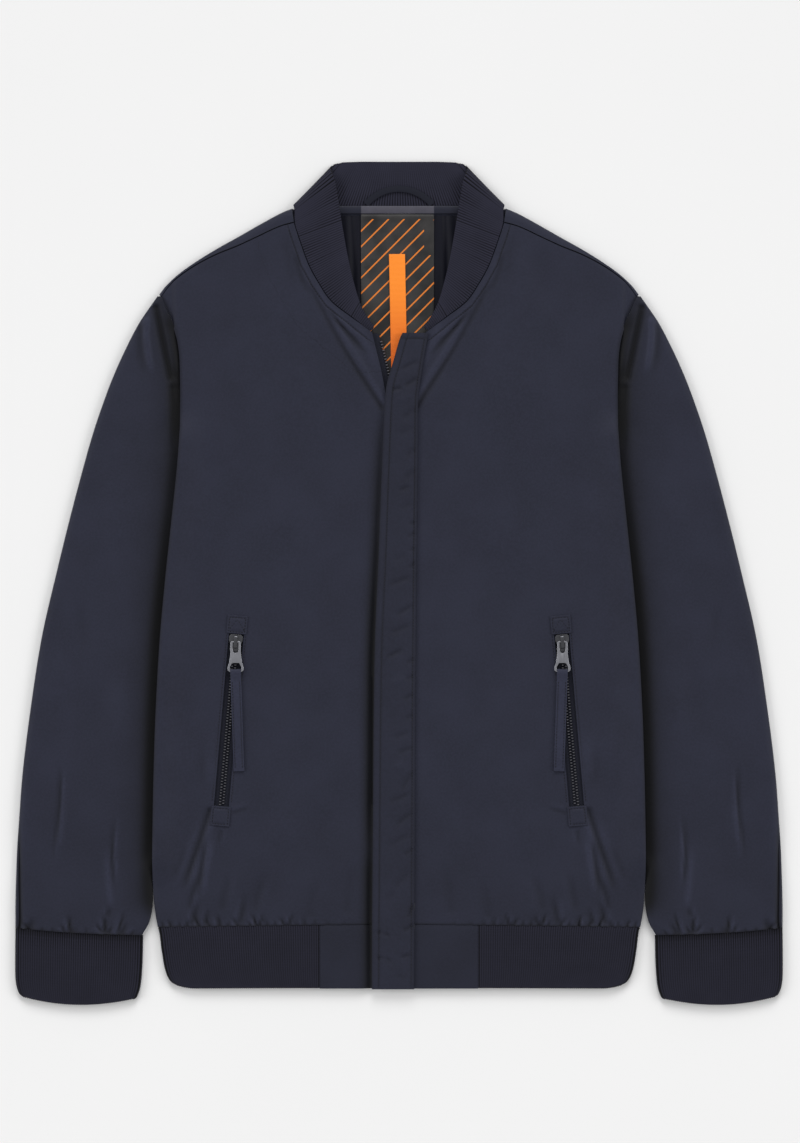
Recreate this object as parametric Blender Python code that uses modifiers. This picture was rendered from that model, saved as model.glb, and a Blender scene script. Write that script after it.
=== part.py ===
"""Bomber jacket laid flat on its back, front up, collar towards +Y.

Sizes are in millimetres and become metres when a mesh is made. X runs across the jacket, Y from
hem to collar and Z up from the surface that it lies on. Right and left are the wearer's, so the
wearer's right side is at -X. Each cloth piece is an open sheet at the middle of its wall, lofted
through rows worked out from the tables below, and Solidify gives it its thickness.
"""
import math
from collections import namedtuple

import bpy

MM = 0.001
GAP = 0.3

# Walls
CLOTH = 2.2
RIB = 3.0
FLAP_WALL = 2.0
TRIM = 1.0

# Layers: a front lies AIR above the back, and NECK_RISE more above the neck lining
AIR = 3.4
NECK_RISE = 1.6
RISE_START_Y = 112.0
RISE_END_Y = 171.9
LAYER_GAP = 0.2
FOLD_RADIUS = 6.0
EDGE_OPENING = 0.42
BACK_LEVEL = CLOTH / 2
SEPARATION = CLOTH + AIR
LINING_LEVEL = CLOTH + LAYER_GAP + TRIM / 2
LABEL_LEVEL = LINING_LEVEL + TRIM + LAYER_GAP
RIBBON_LEVEL = LABEL_LEVEL + TRIM + LAYER_GAP

# The body's side edge lies on the inner edge of the sleeve
SLEEVE_LIFT = 5.6
LIFT_REACH = 32.0
TUCK = 6.0
TUCKED_SEPARATION = CLOTH + GAP

# Body rows from hem to shoulder: the side edge or armhole, the front's free edge or neck seam,
# and the middle of the back
BodyRow = namedtuple("BodyRow", "side_x side_y edge_x edge_y back_y")
BODY_ROWS = (
    BodyRow(218.3, -312.0, 9.9, -306.9, -306.9),
    BodyRow(220.4, -297.0, 9.9, -292.0, -292.0),
    BodyRow(222.2, -278.0, 9.9, -272.0, -272.0),
    BodyRow(223.0, -250.0, 9.9, -242.0, -242.0),
    BodyRow(222.7, -215.0, 9.9, -204.0, -204.0),
    BodyRow(221.8, -170.0, 9.9, -155.0, -155.0),
    BodyRow(220.0, -115.0, 9.9, -95.0, -95.0),
    BodyRow(216.3, -50.0, 9.9, -25.0, -30.0),
    BodyRow(210.8, 10.0, 9.9, 45.0, 35.0),
    BodyRow(205.4, 60.0, 9.9, 112.0, 90.0),
    BodyRow(200.7, 105.0, 12.6, 171.9, 140.0),
    BodyRow(198.5, 135.0, 24.3, 225.9, 180.0),
    BodyRow(197.2, 160.0, 44.1, 240.3, 215.0),
    BodyRow(197.4, 185.0, 61.2, 253.8, 243.0),
    BodyRow(198.6, 210.0, 72.9, 270.9, 268.0),
    BodyRow(203.4, 234.0, 81.9, 288.0, 292.0),
    BodyRow(210.0, 250.0, 90.0, 310.5, 314.0),
    BodyRow(215.1, 259.2, 94.6, 325.0, 332.5),
)
# Where the side edge stops being free and the armhole seam starts
SIDE_END_Y = 135.0
UNDERARM_Y = 160.0
NECK_CORNER_X = 96.3
NECK_CORNER_Y = 336.3

# The shoulder's fold line, and how far below it the seam runs on the front
ShoulderPoint = namedtuple("ShoulderPoint", "x fold_y seam_drop")
SHOULDER = (
    ShoulderPoint(96.3, 336.3, 11.3),
    ShoulderPoint(107.1, 331.6, 9.8),
    ShoulderPoint(126.0, 321.3, 8.4),
    ShoulderPoint(144.9, 310.5, 6.4),
    ShoulderPoint(164.3, 299.7, 3.6),
    ShoulderPoint(181.8, 288.9, 2.0),
    ShoulderPoint(197.1, 278.1, 1.6),
    ShoulderPoint(208.8, 267.3, 1.6),
    ShoulderPoint(215.1, 259.2, 1.6),
)
FRONT_COLUMNS = (0.0, 0.18, 0.36, 0.55, 0.71, 0.84, 0.918, 0.964, 0.987, 1.0)
NECK_SHARE = 0.45
SHOULDER_GAP = 1.1
NECK_COLUMNS = (0.0, 0.15, 0.30)

# Sleeve rows from cuff to shoulder: the outer fold and the inner edge, and how far the inner
# edge is closed as a fold, tucked under the body, or joined to the armhole
SleeveRow = namedtuple("SleeveRow", "outer_x outer_y inner_x inner_y state")
SLEEVE_ROWS = (
    SleeveRow(345.3, -312.6, 230.2, -320.6, "fold"),
    SleeveRow(345.4, -300.0, 227.6, -307.0, "fold"),
    SleeveRow(345.3, -285.0, 225.6, -287.0, "fold"),
    SleeveRow(344.6, -262.0, 225.3, -262.0, "fold"),
    SleeveRow(343.8, -240.0, 225.0, -240.0, "tuck"),
    SleeveRow(342.0, -212.0, 222.7 - TUCK, -212.0, "tuck"),
    SleeveRow(338.8, -170.0, 221.8 - TUCK, -170.0, "tuck"),
    SleeveRow(332.0, -115.0, 220.0 - TUCK, -115.0, "tuck"),
    SleeveRow(321.9, -50.0, 216.3 - TUCK, -50.0, "tuck"),
    SleeveRow(308.2, 10.0, 210.8 - TUCK, 10.0, "tuck"),
    SleeveRow(295.9, 60.0, 205.4 - TUCK, 60.0, "tuck"),
    SleeveRow(284.0, 105.0, 200.7 - TUCK, 105.0, "tuck"),
    SleeveRow(275.4, 135.0, 201.6, 135.0, "tuck"),
    SleeveRow(267.0, 160.0, 197.2, 160.0, "join"),
    SleeveRow(257.6, 185.0, 197.4, 185.0, "join"),
    SleeveRow(246.5, 209.7, 198.6, 210.0, "join"),
    SleeveRow(235.0, 232.0, 203.4, 234.0, "join"),
    SleeveRow(226.0, 245.7, 210.2, 247.4, "join"),
    SleeveRow(221.6, 252.4, 212.9, 252.9, "join"),
)
SLEEVE_COLUMNS = (0.0, 0.10, 0.25, 0.45, 0.65, 0.82, 0.92, 0.97)
THIN_REACH = 24.0
FOLD_COLUMN = 4.8

# Cuff rows from seam to edge, and how far the middle of a row bows down
CuffRow = namedtuple("CuffRow", "outer_x outer_y inner_x inner_y bow")
CUFF_ROWS = (
    CuffRow(345.3, -313.0, 230.3, -321.0, 0.0),
    CuffRow(345.6, -335.0, 230.9, -342.0, 1.5),
    CuffRow(345.0, -358.0, 232.4, -363.0, 4.0),
    CuffRow(339.8, -371.8, 236.2, -373.8, 6.5),
)
CUFF_COLUMNS = (0.0, 0.025, 0.07, 0.2, 0.4, 0.6, 0.8, 0.93, 0.975, 1.0)
CUFF_SEPARATION = 4.6

# Hem band rows from seam to edge
HemRow = namedtuple("HemRow", "side_x side_y front_y")
HEM_ROWS = (
    HemRow(217.8, -312.4, -309.0),
    HemRow(213.0, -330.0, -327.0),
    HemRow(207.2, -349.0, -347.0),
    HemRow(200.5, -360.8, -364.4),
)
HEM_COLUMNS = (0.0, 0.2, 0.4, 0.6, 0.78, 0.9, 0.96, 0.985, 1.0)
HEM_CORNER_SHARE = 0.86
RIB_START_X = 71.3
HEM_SEAM_Y = -306.9
HEM_EDGE_Y = -364.4
HEM_SLOPE = (312.0 - 306.9) / 218.3

# Collar rows from the front tip round the side fold to the middle of the back: the neck seam,
# the free edge, and how far the band has turned from the front layer (0) to the back layer (1)
CollarRow = namedtuple("CollarRow", "seam_x seam_y top_x top_y turn")
COLLAR_ROWS = (
    CollarRow(25.2, 227.2, 22.6, 230.4, 0.0),
    CollarRow(34.4, 234.0, 29.6, 240.6, 0.0),
    CollarRow(43.7, 240.8, 35.8, 253.6, 0.0),
    CollarRow(60.8, 254.3, 40.8, 270.8, 0.0),
    CollarRow(72.4, 271.2, 44.9, 287.9, 0.0),
    CollarRow(81.4, 288.2, 46.9, 298.8, 0.0),
    CollarRow(89.5, 310.6, 51.0, 322.0, 0.0),
    CollarRow(93.4, 324.0, 54.4, 343.0, 0.0),
    CollarRow(93.6, 334.6, 57.6, 361.0, 0.08),
    CollarRow(94.0, 339.4, 61.0, 371.5, 0.5),
    CollarRow(90.4, 340.2, 57.8, 376.2, 0.92),
    CollarRow(84.0, 338.6, 51.0, 378.2, 1.0),
    CollarRow(56.0, 334.6, 36.0, 379.2, 1.0),
    CollarRow(28.0, 333.2, 18.0, 379.3, 1.0),
    CollarRow(0.0, 332.9, 0.0, 379.3, 1.0),
)
COLLAR_COLUMNS = (0.0, 0.25, 0.5, 0.75, 1.0)
COLLAR_BACK_LEVEL = RIB / 2

# Storm flap rows, top to bottom
FlapRow = namedtuple("FlapRow", "y free_x seam_x")
FLAP_ROWS = (
    FlapRow(224.4, 4.5, 25.8),
    FlapRow(221.0, 1.2, 25.6),
    FlapRow(200.0, -5.2, 21.9),
    FlapRow(180.0, -11.3, 18.8),
    FlapRow(164.7, -13.5, 17.1),
    FlapRow(110.0, -15.0, 16.6),
    FlapRow(20.0, -17.1, 15.6),
    FlapRow(-45.0, -20.5, 15.1),
    FlapRow(-105.0, -23.4, 14.6),
    FlapRow(-200.0, -24.0, 14.2),
    FlapRow(-300.0, -24.3, 13.8),
    FlapRow(-365.2, -24.3, 13.5),
)

# Front zip: where each half of its tape ends, top to bottom, and the closed chain
ZIP_X = -2.0
TapeRow = namedtuple("TapeRow", "y right_x left_x")
TAPE_ROWS = (
    TapeRow(224.6, -19.2, 16.4),
    TapeRow(200.0, -12.9, 9.6),
    TapeRow(184.5, -8.6, 4.6),
    TapeRow(RISE_END_Y, -8.2, 4.2),
    TapeRow(155.0, -8.2, 4.2),
    TapeRow(152.0, ZIP_X - 0.2, ZIP_X + 0.2),
    TapeRow(RISE_START_Y, ZIP_X - 0.2, ZIP_X + 0.2),
    TapeRow(-100.0, ZIP_X - 0.2, ZIP_X + 0.2),
    TapeRow(-300.0, ZIP_X - 0.2, ZIP_X + 0.2),
    TapeRow(-363.6, ZIP_X - 0.2, ZIP_X + 0.2),
)
TAPE_WIDTH = 15.0
CHAIN_WIDTH = 5.6
CHAIN_HEIGHT = 1.8
ZIP_SLIDER_Y = 162.5
ZIP_SLIDER_SIZE = (9.6, 14.0, 3.6)

# Pieces inside the neck
LINING_ROWS = ((330.6, 63.0), (300.0, 64.0), (250.0, 60.0), (200.0, 50.0), (152.0, 42.0))
LABEL_LEFT_X = -34.2
LABEL_RIGHT_X = 31.5
LABEL_TOP_Y = 331.8
LABEL_BOTTOM_Y = 190.0
RIBBON_WIDTH = 14.4
RIBBON_TOP = (-1.8, 296.0)
RIBBON_BOTTOM = (0.2, 191.5)
NECK_TAPE_HALF = 57.0
NECK_TAPE_TOP_Y = 339.4
NECK_TAPE_BOTTOM_Y = 332.6
LOOP_HALF_SPAN = 29.7
LOOP_FOOT_Y = 341.6
LOOP_TOP_Y = 357.4
LOOP_WIDTH = 5.4

# Pockets: a slanting window with a zip, closed at the top where its slider stands
POCKET_TOP = (146.3, -45.9)
POCKET_BOTTOM = (159.8, -200.7)
WINDOW_WIDTH = 13.6
POCKET_TAPE_WIDTH = 24.0
POCKET_TAPE_MARGIN = 8.0
TOP_PATCH = (18.9, 14.4)
BOTTOM_PATCH = (17.4, 17.6)
SLIDER_LENGTH = 15.5
SLIDER_INSET = 0.4
SLIDER_SHOULDER = 12.2
SLIDER_TAIL = 9.4
SLIDER_BODY_HEIGHT = 2.8
BRIDGE_WIDTH = 3.0
BRIDGE_LENGTH = 12.0
BRIDGE_WALL = 1.2
BRIDGE_REACH = 1.15
HINGE_OFFSET = 6.6
BAR = 1.2
PULLER_LENGTH = 27.0
PULLER_NECK = 9.3
PULLER_EYE = 14.4
PULLER_RIM = 2.1
SLOT_LENGTH = 10.0
PLATE_LENGTH = 9.0
STRAP_WIDTH = 9.6
STRAP_LENGTH = 90.0
STRAP_WALL = 2.0
STRAP_HEAD = 3.8
STRAP_HOLE = 2.3
STRAP_TILT = math.radians(1.9)

Look = namedtuple("Look", "colour roughness metallic")
SHELL = Look((0.030, 0.034, 0.052), 0.75, 0.0)
KNIT = Look((0.024, 0.024, 0.036), 0.9, 0.0)
LINING = Look((0.022, 0.025, 0.040), 0.7, 0.0)
LABEL = Look((0.035, 0.035, 0.038), 0.8, 0.0)
ORANGE = Look((1.0, 0.22, 0.02), 0.6, 0.0)
ZIP_TAPE = Look((0.020, 0.022, 0.034), 0.85, 0.0)
ZIP_TEETH = Look((0.06, 0.06, 0.07), 0.45, 0.0)
METAL = Look((0.42, 0.42, 0.45), 0.35, 1.0)


def clear_scene():
    for obj in list(bpy.data.objects):
        bpy.data.objects.remove(obj, do_unlink=True)


def make_collection(name):
    collection = bpy.data.collections.new(name)
    bpy.context.scene.collection.children.link(collection)
    return collection


def make_material(name, look):
    material = bpy.data.materials.new(name)
    material.use_nodes = True
    shader = material.node_tree.nodes["Principled BSDF"]
    shader.inputs["Base Color"].default_value = (*look.colour, 1.0)
    shader.inputs["Roughness"].default_value = look.roughness
    shader.inputs["Metallic"].default_value = look.metallic
    return material


def smooth(share):
    share = min(1.0, max(0.0, share))
    return share * share * (3.0 - 2.0 * share)


def ramp(value, start, end):
    """0 at start, 1 at end, smooth between."""
    return smooth((value - start) / (end - start))


def read_table(table, key, value, at):
    """A column of a table at a place between its rows, in straight steps."""
    rows = sorted(table, key=lambda row: getattr(row, key))
    for low, high in zip(rows, rows[1:]):
        if at <= getattr(high, key):
            break
    span = getattr(high, key) - getattr(low, key)
    share = min(1.0, max(0.0, (at - getattr(low, key)) / span))
    return getattr(low, value) + share * (getattr(high, value) - getattr(low, value))


def side_x(y):
    return read_table(BODY_ROWS, "side_y", "side_x", y)


def closing(distance):
    """Half the space between two layers near their fold, as a share: 0 at the fold, 1 inside."""
    share = min(1.0, max(0.0, distance / FOLD_RADIUS))
    return max(EDGE_OPENING, math.sqrt(1.0 - (1.0 - share) ** 2))


def shoulder_distance(x, y):
    """How far a point lies inside the shoulder's fold."""
    if x < NECK_CORNER_X - 4.0 or y < 200.0:
        return FOLD_RADIUS * 2
    fold_y = read_table(SHOULDER, "x", "fold_y", x)
    return (fold_y - y) * 0.84


def body_lift(x, y):
    """Height of the back's underside where it lies on the sleeve."""
    along = ramp(y, -278.0, -245.0) * (1.0 - ramp(y, 128.0, 158.0))
    across = 1.0 - smooth((side_x(y) - x) / LIFT_REACH)
    return SLEEVE_LIFT * along * across


def body_opening(x, y):
    """Share of the full space between front and back at a point of the body."""
    side = closing(side_x(y) - CLOTH / 2 - x)
    beside_sleeve = 1.0 - ramp(y, SIDE_END_Y, UNDERARM_Y)
    return min(1.0 - beside_sleeve * (1.0 - side), closing(shoulder_distance(x, y)))


def neck_rise(x, y):
    """How much higher a front lies where the neck's lining and label are under it."""
    share = min(1.0, max(0.0, (y - RISE_START_Y) / (RISE_END_Y - RISE_START_Y)))
    return NECK_RISE * share * (1.0 - ramp(x, 60.0, 150.0))


def front_level(x, y):
    """Middle of the front's wall."""
    half = SEPARATION / 2
    middle = BACK_LEVEL + half + body_lift(abs(x), y)
    return middle + (half + neck_rise(abs(x), y)) * body_opening(abs(x), y)


def back_level(x, y):
    """Middle of the back's wall."""
    half = SEPARATION / 2
    return BACK_LEVEL + half + body_lift(abs(x), y) - half * body_opening(abs(x), y)


def place(obj, collection, material):
    obj.data.materials.append(material)
    for other in list(obj.users_collection):
        other.objects.unlink(obj)
    collection.objects.link(obj)
    return obj


def grid_faces(rows, wrap):
    """Quads between neighbouring rows of equal length; wrap closes each row into a ring."""
    count = len(rows[0])
    last = count if wrap else count - 1
    faces = []
    for row in range(len(rows) - 1):
        for column in range(last):
            near = row * count
            far = near + count
            right = (column + 1) % count
            faces.append((near + column, near + right, far + right, far + column))
    return faces


def add_sheet(name, rows, wall, collection, material, wrap=False, extra=None):
    """Cloth: a grid of points at the middle of its wall, thickened by Solidify."""
    vertices = [tuple(value * MM for value in point) for row in rows for point in row]
    faces = grid_faces(rows, wrap)
    if extra:
        for block, seam in extra:
            faces += join_block(vertices, block, seam, len(rows[0]) * (len(rows) - 1))
    mesh = bpy.data.meshes.new(name)
    mesh.from_pydata(vertices, [], faces)
    mesh.validate()
    obj = place(bpy.data.objects.new(name, mesh), collection, material)
    solidify = obj.modifiers.new("wall", "SOLIDIFY")
    solidify.thickness = wall * MM
    solidify.offset = 0.0
    solidify.use_even_offset = True
    solidify.use_quality_normals = True
    return obj


def join_block(vertices, block, seam, row_start):
    """More rows carried on from some columns of the last row; seam lists those columns."""
    lines = [[row_start + column for column in seam]]
    for row in block:
        lines.append(list(range(len(vertices), len(vertices) + len(row))))
        vertices.extend(tuple(value * MM for value in point) for point in row)
    faces = []
    for near, far in zip(lines, lines[1:]):
        for column in range(len(near) - 1):
            faces.append((near[column], near[column + 1], far[column + 1], far[column]))
    return faces


def seam_point(share, drop_share):
    """A point on the part of the back that folds over the shoulder, at a share of its depth."""
    x = NECK_CORNER_X + (BODY_ROWS[-1].side_x - NECK_CORNER_X) * share
    drop = read_table(SHOULDER, "x", "seam_drop", x) * drop_share
    y = read_table(SHOULDER, "x", "fold_y", x) - drop
    lean = 0.15 * (1.0 - ramp(share, 0.0, 0.2)) + 0.55 * ramp(share, 0.9, 1.0)
    return x - drop * lean, y


def front_points(side):
    """Rows of one front from hem to shoulder seam, each from its free edge to its side edge."""
    rows = []
    top = len(BODY_ROWS) - 1
    for index, row in enumerate(BODY_ROWS):
        bend = (index / top) ** 3
        edge_x = row.edge_x
        if side > 0 and index < 11:
            edge_x = row.edge_x - 4.0
        outer = row.side_x - (CLOTH / 2) * (1.0 - ramp(row.side_y, SIDE_END_Y, UNDERARM_Y))
        line = []
        for share in FRONT_COLUMNS:
            x = edge_x + (outer - edge_x) * share
            y = row.edge_y + (row.side_y - row.edge_y) * share
            end = BODY_ROWS[-1]
            chord_x = end.edge_x + (end.side_x - end.edge_x) * share
            chord_y = end.edge_y + (end.side_y - end.edge_y) * share
            seam_x, seam_y = seam_point(share, 1.0)
            x += (seam_x - chord_x) * bend
            y += (seam_y - SHOULDER_GAP - chord_y) * bend
            line.append((side * x, y, front_level(x, y)))
        rows.append(line)
    return rows


def back_top(share):
    """The back's upper edge from the middle of the neck to the armhole."""
    if share < NECK_SHARE:
        part = share / NECK_SHARE
        end_y = BODY_ROWS[-1].back_y
        return NECK_CORNER_X * part, end_y + (NECK_CORNER_Y - end_y) * part ** 2
    return seam_point((share - NECK_SHARE) / (1.0 - NECK_SHARE), 0.0)


def back_columns():
    half = list(NECK_COLUMNS)
    half += [NECK_SHARE + (1.0 - NECK_SHARE) * share for share in FRONT_COLUMNS]
    return [-share for share in reversed(half[1:])] + half


def back_points():
    """Rows of the back from hem to its upper edge, each from side to side."""
    rows = []
    top = len(BODY_ROWS) - 1
    end = BODY_ROWS[-1]
    for index, row in enumerate(BODY_ROWS):
        bend = (index / top) ** 3
        outer = row.side_x - (CLOTH / 2) * (1.0 - ramp(row.side_y, SIDE_END_Y, UNDERARM_Y))
        line = []
        for column in back_columns():
            share = abs(column)
            top_x, top_y = back_top(share)
            x = outer * share + (top_x - end.side_x * share) * bend
            chord_y = end.back_y + (end.side_y - end.back_y) * share
            y = row.back_y + (row.side_y - row.back_y) * share + (top_y - chord_y) * bend
            line.append((math.copysign(x, column), y, back_level(x, y)))
        rows.append(line)
    return rows


def shoulder_folds():
    """The two parts of the back that fold over the shoulders to their seams on the front."""
    columns = back_columns()
    blocks = []
    for side in (-1, 1):
        seam = [index for index, column in enumerate(columns) if column * side >= NECK_SHARE - 1e-6]
        block = []
        for step in (0.35, 0.7, 1.0):
            line = []
            for index in seam:
                share = (abs(columns[index]) - NECK_SHARE) / (1.0 - NECK_SHARE)
                x, y = seam_point(share, step)
                line.append((side * x, y, front_level(x, y)))
            block.append(line)
        blocks.append((block, seam))
    return blocks


def outline_distance(x, y):
    """How far a point of the sleeve lies inside its outer fold."""
    nearest = FOLD_RADIUS * 3
    points = [(row.outer_x, row.outer_y) for row in SLEEVE_ROWS] + [(215.1, 259.2), (208.8, 267.3)]
    for (ax, ay), (bx, by) in zip(points, points[1:]):
        length = math.hypot(bx - ax, by - ay)
        along = ((x - ax) * (bx - ax) + (y - ay) * (by - ay)) / length
        along = min(length, max(0.0, along))
        foot_x = ax + (bx - ax) * along / length
        foot_y = ay + (by - ay) * along / length
        nearest = min(nearest, math.hypot(x - foot_x, y - foot_y))
    return nearest


def sleeve_points(side):
    """Rows of one sleeve from cuff to shoulder, each from the front's inner edge round the outer
    fold to the back's inner edge, where its seam lies."""
    rows = []
    for row in SLEEVE_ROWS:
        outer_x = row.outer_x - CLOTH / 2
        inner_x = row.inner_x + 1.5 * GAP + (CLOTH / 2 if row.state == "fold" else 0.0)
        reach = 1.0 - FOLD_COLUMN / (outer_x - inner_x)
        tight = min(1.0, reach / SLEEVE_COLUMNS[-1])
        columns = [share * tight for share in SLEEVE_COLUMNS]
        shares = columns + [1.0] + list(reversed(columns))
        line = []
        for index, share in enumerate(shares):
            layer = 1 if index < len(columns) else -1
            x = inner_x + (outer_x - inner_x) * share
            y = row.inner_y + (row.outer_y - row.inner_y) * share
            inside = x - inner_x
            separation = SEPARATION
            opening = closing(outline_distance(x + CLOTH / 2, y))
            if share == 1.0:
                opening = 0.0
            if row.state == "tuck":
                thin = smooth(inside / THIN_REACH)
                separation = TUCKED_SEPARATION + (SEPARATION - TUCKED_SEPARATION) * thin
            if row.state == "fold":
                opening = min(opening, closing(inside))
            z = BACK_LEVEL + separation / 2 * (1.0 + layer * opening)
            line.append((side * x, y, z))
        rows.append(line)
    return rows


def cuff_points(side):
    """Rows of one cuff from seam to edge, each a flattened ring."""
    rows = []
    for row in CUFF_ROWS:
        outer_x = row.outer_x - RIB / 2
        inner_x = row.inner_x + RIB / 2
        shares = [(share, 1) for share in CUFF_COLUMNS]
        shares += [(share, -1) for share in reversed(CUFF_COLUMNS[1:-1])]
        line = []
        for share, layer in shares:
            x = inner_x + (outer_x - inner_x) * share
            y = row.inner_y + (row.outer_y - row.inner_y) * share - row.bow * 4 * share * (1 - share)
            edge = min(share, 1.0 - share) * (outer_x - inner_x)
            opening = math.sqrt(1.0 - (1.0 - min(1.0, edge / FOLD_RADIUS)) ** 2)
            z = RIB / 2 + CUFF_SEPARATION / 2 * (1.0 + layer * opening)
            line.append((side * x, y, z))
        rows.append(line)
    return rows


def hem_seam_y(x):
    return HEM_SEAM_Y - HEM_SLOPE * abs(x)


def hem_points():
    """Rows of the hem rib from seam to edge: right front, right side, back, left side, left front."""
    rows = []
    separation = SEPARATION + CLOTH - RIB
    for index, row in enumerate(HEM_ROWS):
        outer = row.side_x - RIB / 2

        def point(x, layer):
            share = (x - RIB_START_X) / (outer - RIB_START_X)
            corner = max(0.0, (share - HEM_CORNER_SHARE) / (1.0 - HEM_CORNER_SHARE))
            y = row.front_y + (row.side_y - row.front_y) * corner ** 2
            if index == 0:
                y = hem_seam_y(x) - GAP
            edge = outer - x
            opening = closing(edge) if edge > 1e-6 else 0.0
            return x, y, RIB / 2 + separation / 2 * (1.0 + layer * opening)

        half_front = [RIB_START_X + (outer - RIB_START_X) * share for share in HEM_COLUMNS]
        half_back = [outer * share for share in (0.985, 0.96, 0.9, 0.72, 0.5, 0.25)]
        line = []
        for x in half_front:
            px, y, z = point(x, 1)
            line.append((-px, y, z))
        for x in half_back:
            px, y, z = point(x, -1)
            line.append((-px, y, z))
        line.append(point(0.0, -1))
        for x in reversed(half_back):
            line.append(point(x, -1))
        for x in reversed(half_front):
            line.append(point(x, 1))
        rows.append(line)
    return rows


def hem_tab_points(side):
    """Rows of the woven end of the hem band on one front."""
    start = 9.9 if side < 0 else 5.9
    end = RIB_START_X - GAP
    level = BACK_LEVEL + SEPARATION
    rows = []
    for share_y in (0.0, 0.5, 1.0):
        line = []
        for share in (0.0, 0.5, 1.0):
            x = start + (end - start) * share
            top = hem_seam_y(x) - GAP
            y = top + (HEM_EDGE_Y - 0.6 - top) * share_y
            line.append((side * x, y, level))
        rows.append(line)
    return rows


def collar_points():
    """Rows of the collar from its right tip round the back to its left tip, seam to free edge."""
    half = []
    for row in COLLAR_ROWS:
        line = []
        for share in COLLAR_COLUMNS:
            x = row.seam_x + (row.top_x - row.seam_x) * share
            y = row.seam_y + (row.top_y - row.seam_y) * share
            front_z = BACK_LEVEL + SEPARATION + neck_rise(row.seam_x, row.seam_y) + 0.6 * share
            turn = 0.5 - 0.5 * math.cos(math.pi * row.turn)
            line.append((x, y, front_z + (COLLAR_BACK_LEVEL - front_z) * turn))
        half.append(line)
    right = [[(-x, y, z) for x, y, z in line] for line in half]
    return right + list(reversed(half[:-1]))


def flap_points():
    rows = []
    rise = CLOTH / 2 + GAP + FLAP_WALL / 2
    for row in FLAP_ROWS:
        line = []
        for share in (0.0, 0.06, 0.3, 0.65, 1.0):
            x = row.free_x + (row.seam_x - row.free_x) * share
            line.append((x, row.y, front_level(0.0, row.y) + rise))
        rows.append(line)
    return rows


def tape_points(side):
    """One half of the front zip's tape, under its front's free edge."""
    drop = CLOTH / 2 + LAYER_GAP + TRIM / 2
    rows = []
    for row in TAPE_ROWS:
        edge = row.right_x if side < 0 else row.left_x
        line = []
        for share in (0.0, 1.0):
            x = edge + side * TAPE_WIDTH * share
            line.append((x, row.y, front_level(0.0, row.y) - drop))
        rows.append(line)
    return rows


def add_block(name, size, centre, collection, material):
    """A box of given size at its centre, placed by its location."""
    bpy.ops.mesh.primitive_cube_add(size=1.0)
    obj = bpy.context.object
    obj.name = name
    obj.data.name = name
    obj.scale = [value * MM for value in size]
    bpy.ops.object.transform_apply(location=False, rotation=False, scale=True)
    obj.location = [value * MM for value in centre]
    return place(obj, collection, material)


def add_outline(name, outlines, thickness, collection, material):
    """A flat piece: closed outlines filled as a 2D curve and extruded, then made a mesh."""
    curve = bpy.data.curves.new(name, "CURVE")
    curve.dimensions = "2D"
    curve.fill_mode = "BOTH"
    curve.extrude = thickness / 2 * MM
    for outline in outlines:
        spline = curve.splines.new("POLY")
        spline.points.add(len(outline) - 1)
        for point, (x, y) in zip(spline.points, outline):
            point.co = (x * MM, y * MM, 0.0, 1.0)
        spline.use_cyclic_u = True
    source = bpy.data.objects.new(name + "_curve", curve)
    bpy.context.scene.collection.objects.link(source)
    graph = bpy.context.evaluated_depsgraph_get()
    mesh = bpy.data.meshes.new_from_object(source.evaluated_get(graph))
    bpy.data.objects.remove(source, do_unlink=True)
    mesh.name = name
    obj = bpy.data.objects.new(name, mesh)
    weld = obj.modifiers.new("weld", "WELD")
    weld.merge_threshold = 0.000001
    return place(obj, collection, material)


def arc(centre, radius, start, end, steps):
    """Points on an arc between two angles in degrees."""
    points = []
    for step in range(steps + 1):
        angle = math.radians(start + (end - start) * step / steps)
        points.append((centre[0] + radius * math.cos(angle), centre[1] + radius * math.sin(angle)))
    return points


def cut(obj, cutter, operation="DIFFERENCE"):
    modifier = obj.modifiers.new(cutter.name, "BOOLEAN")
    modifier.operation = operation
    modifier.solver = "EXACT"
    modifier.object = cutter


def as_cutter(obj):
    obj.hide_render = True
    obj.display_type = "WIRE"
    return obj


def build_body(parts, cutters, cloth):
    add_sheet("back", back_points(), CLOTH, parts, cloth, extra=shoulder_folds())
    for name, side in (("front_right", -1), ("front_left", 1)):
        front = add_sheet(name, front_points(side), CLOTH, parts, cloth)
        window = add_pocket_window(side, cutters, cloth)
        cut(front, window)


def build_sleeves(parts, cloth, knit):
    for name, side in (("right", -1), ("left", 1)):
        add_sheet("sleeve_" + name, sleeve_points(side), CLOTH, parts, cloth)
        add_sheet("cuff_" + name, cuff_points(side), RIB, parts, knit, wrap=True)


def build_bands(parts, cloth, knit):
    add_sheet("collar", collar_points(), RIB, parts, knit)
    add_sheet("hem_rib", hem_points(), RIB, parts, knit)
    add_sheet("hem_tab_right", hem_tab_points(-1), CLOTH, parts, cloth)
    add_sheet("hem_tab_left", hem_tab_points(1), CLOTH, parts, cloth)


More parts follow.
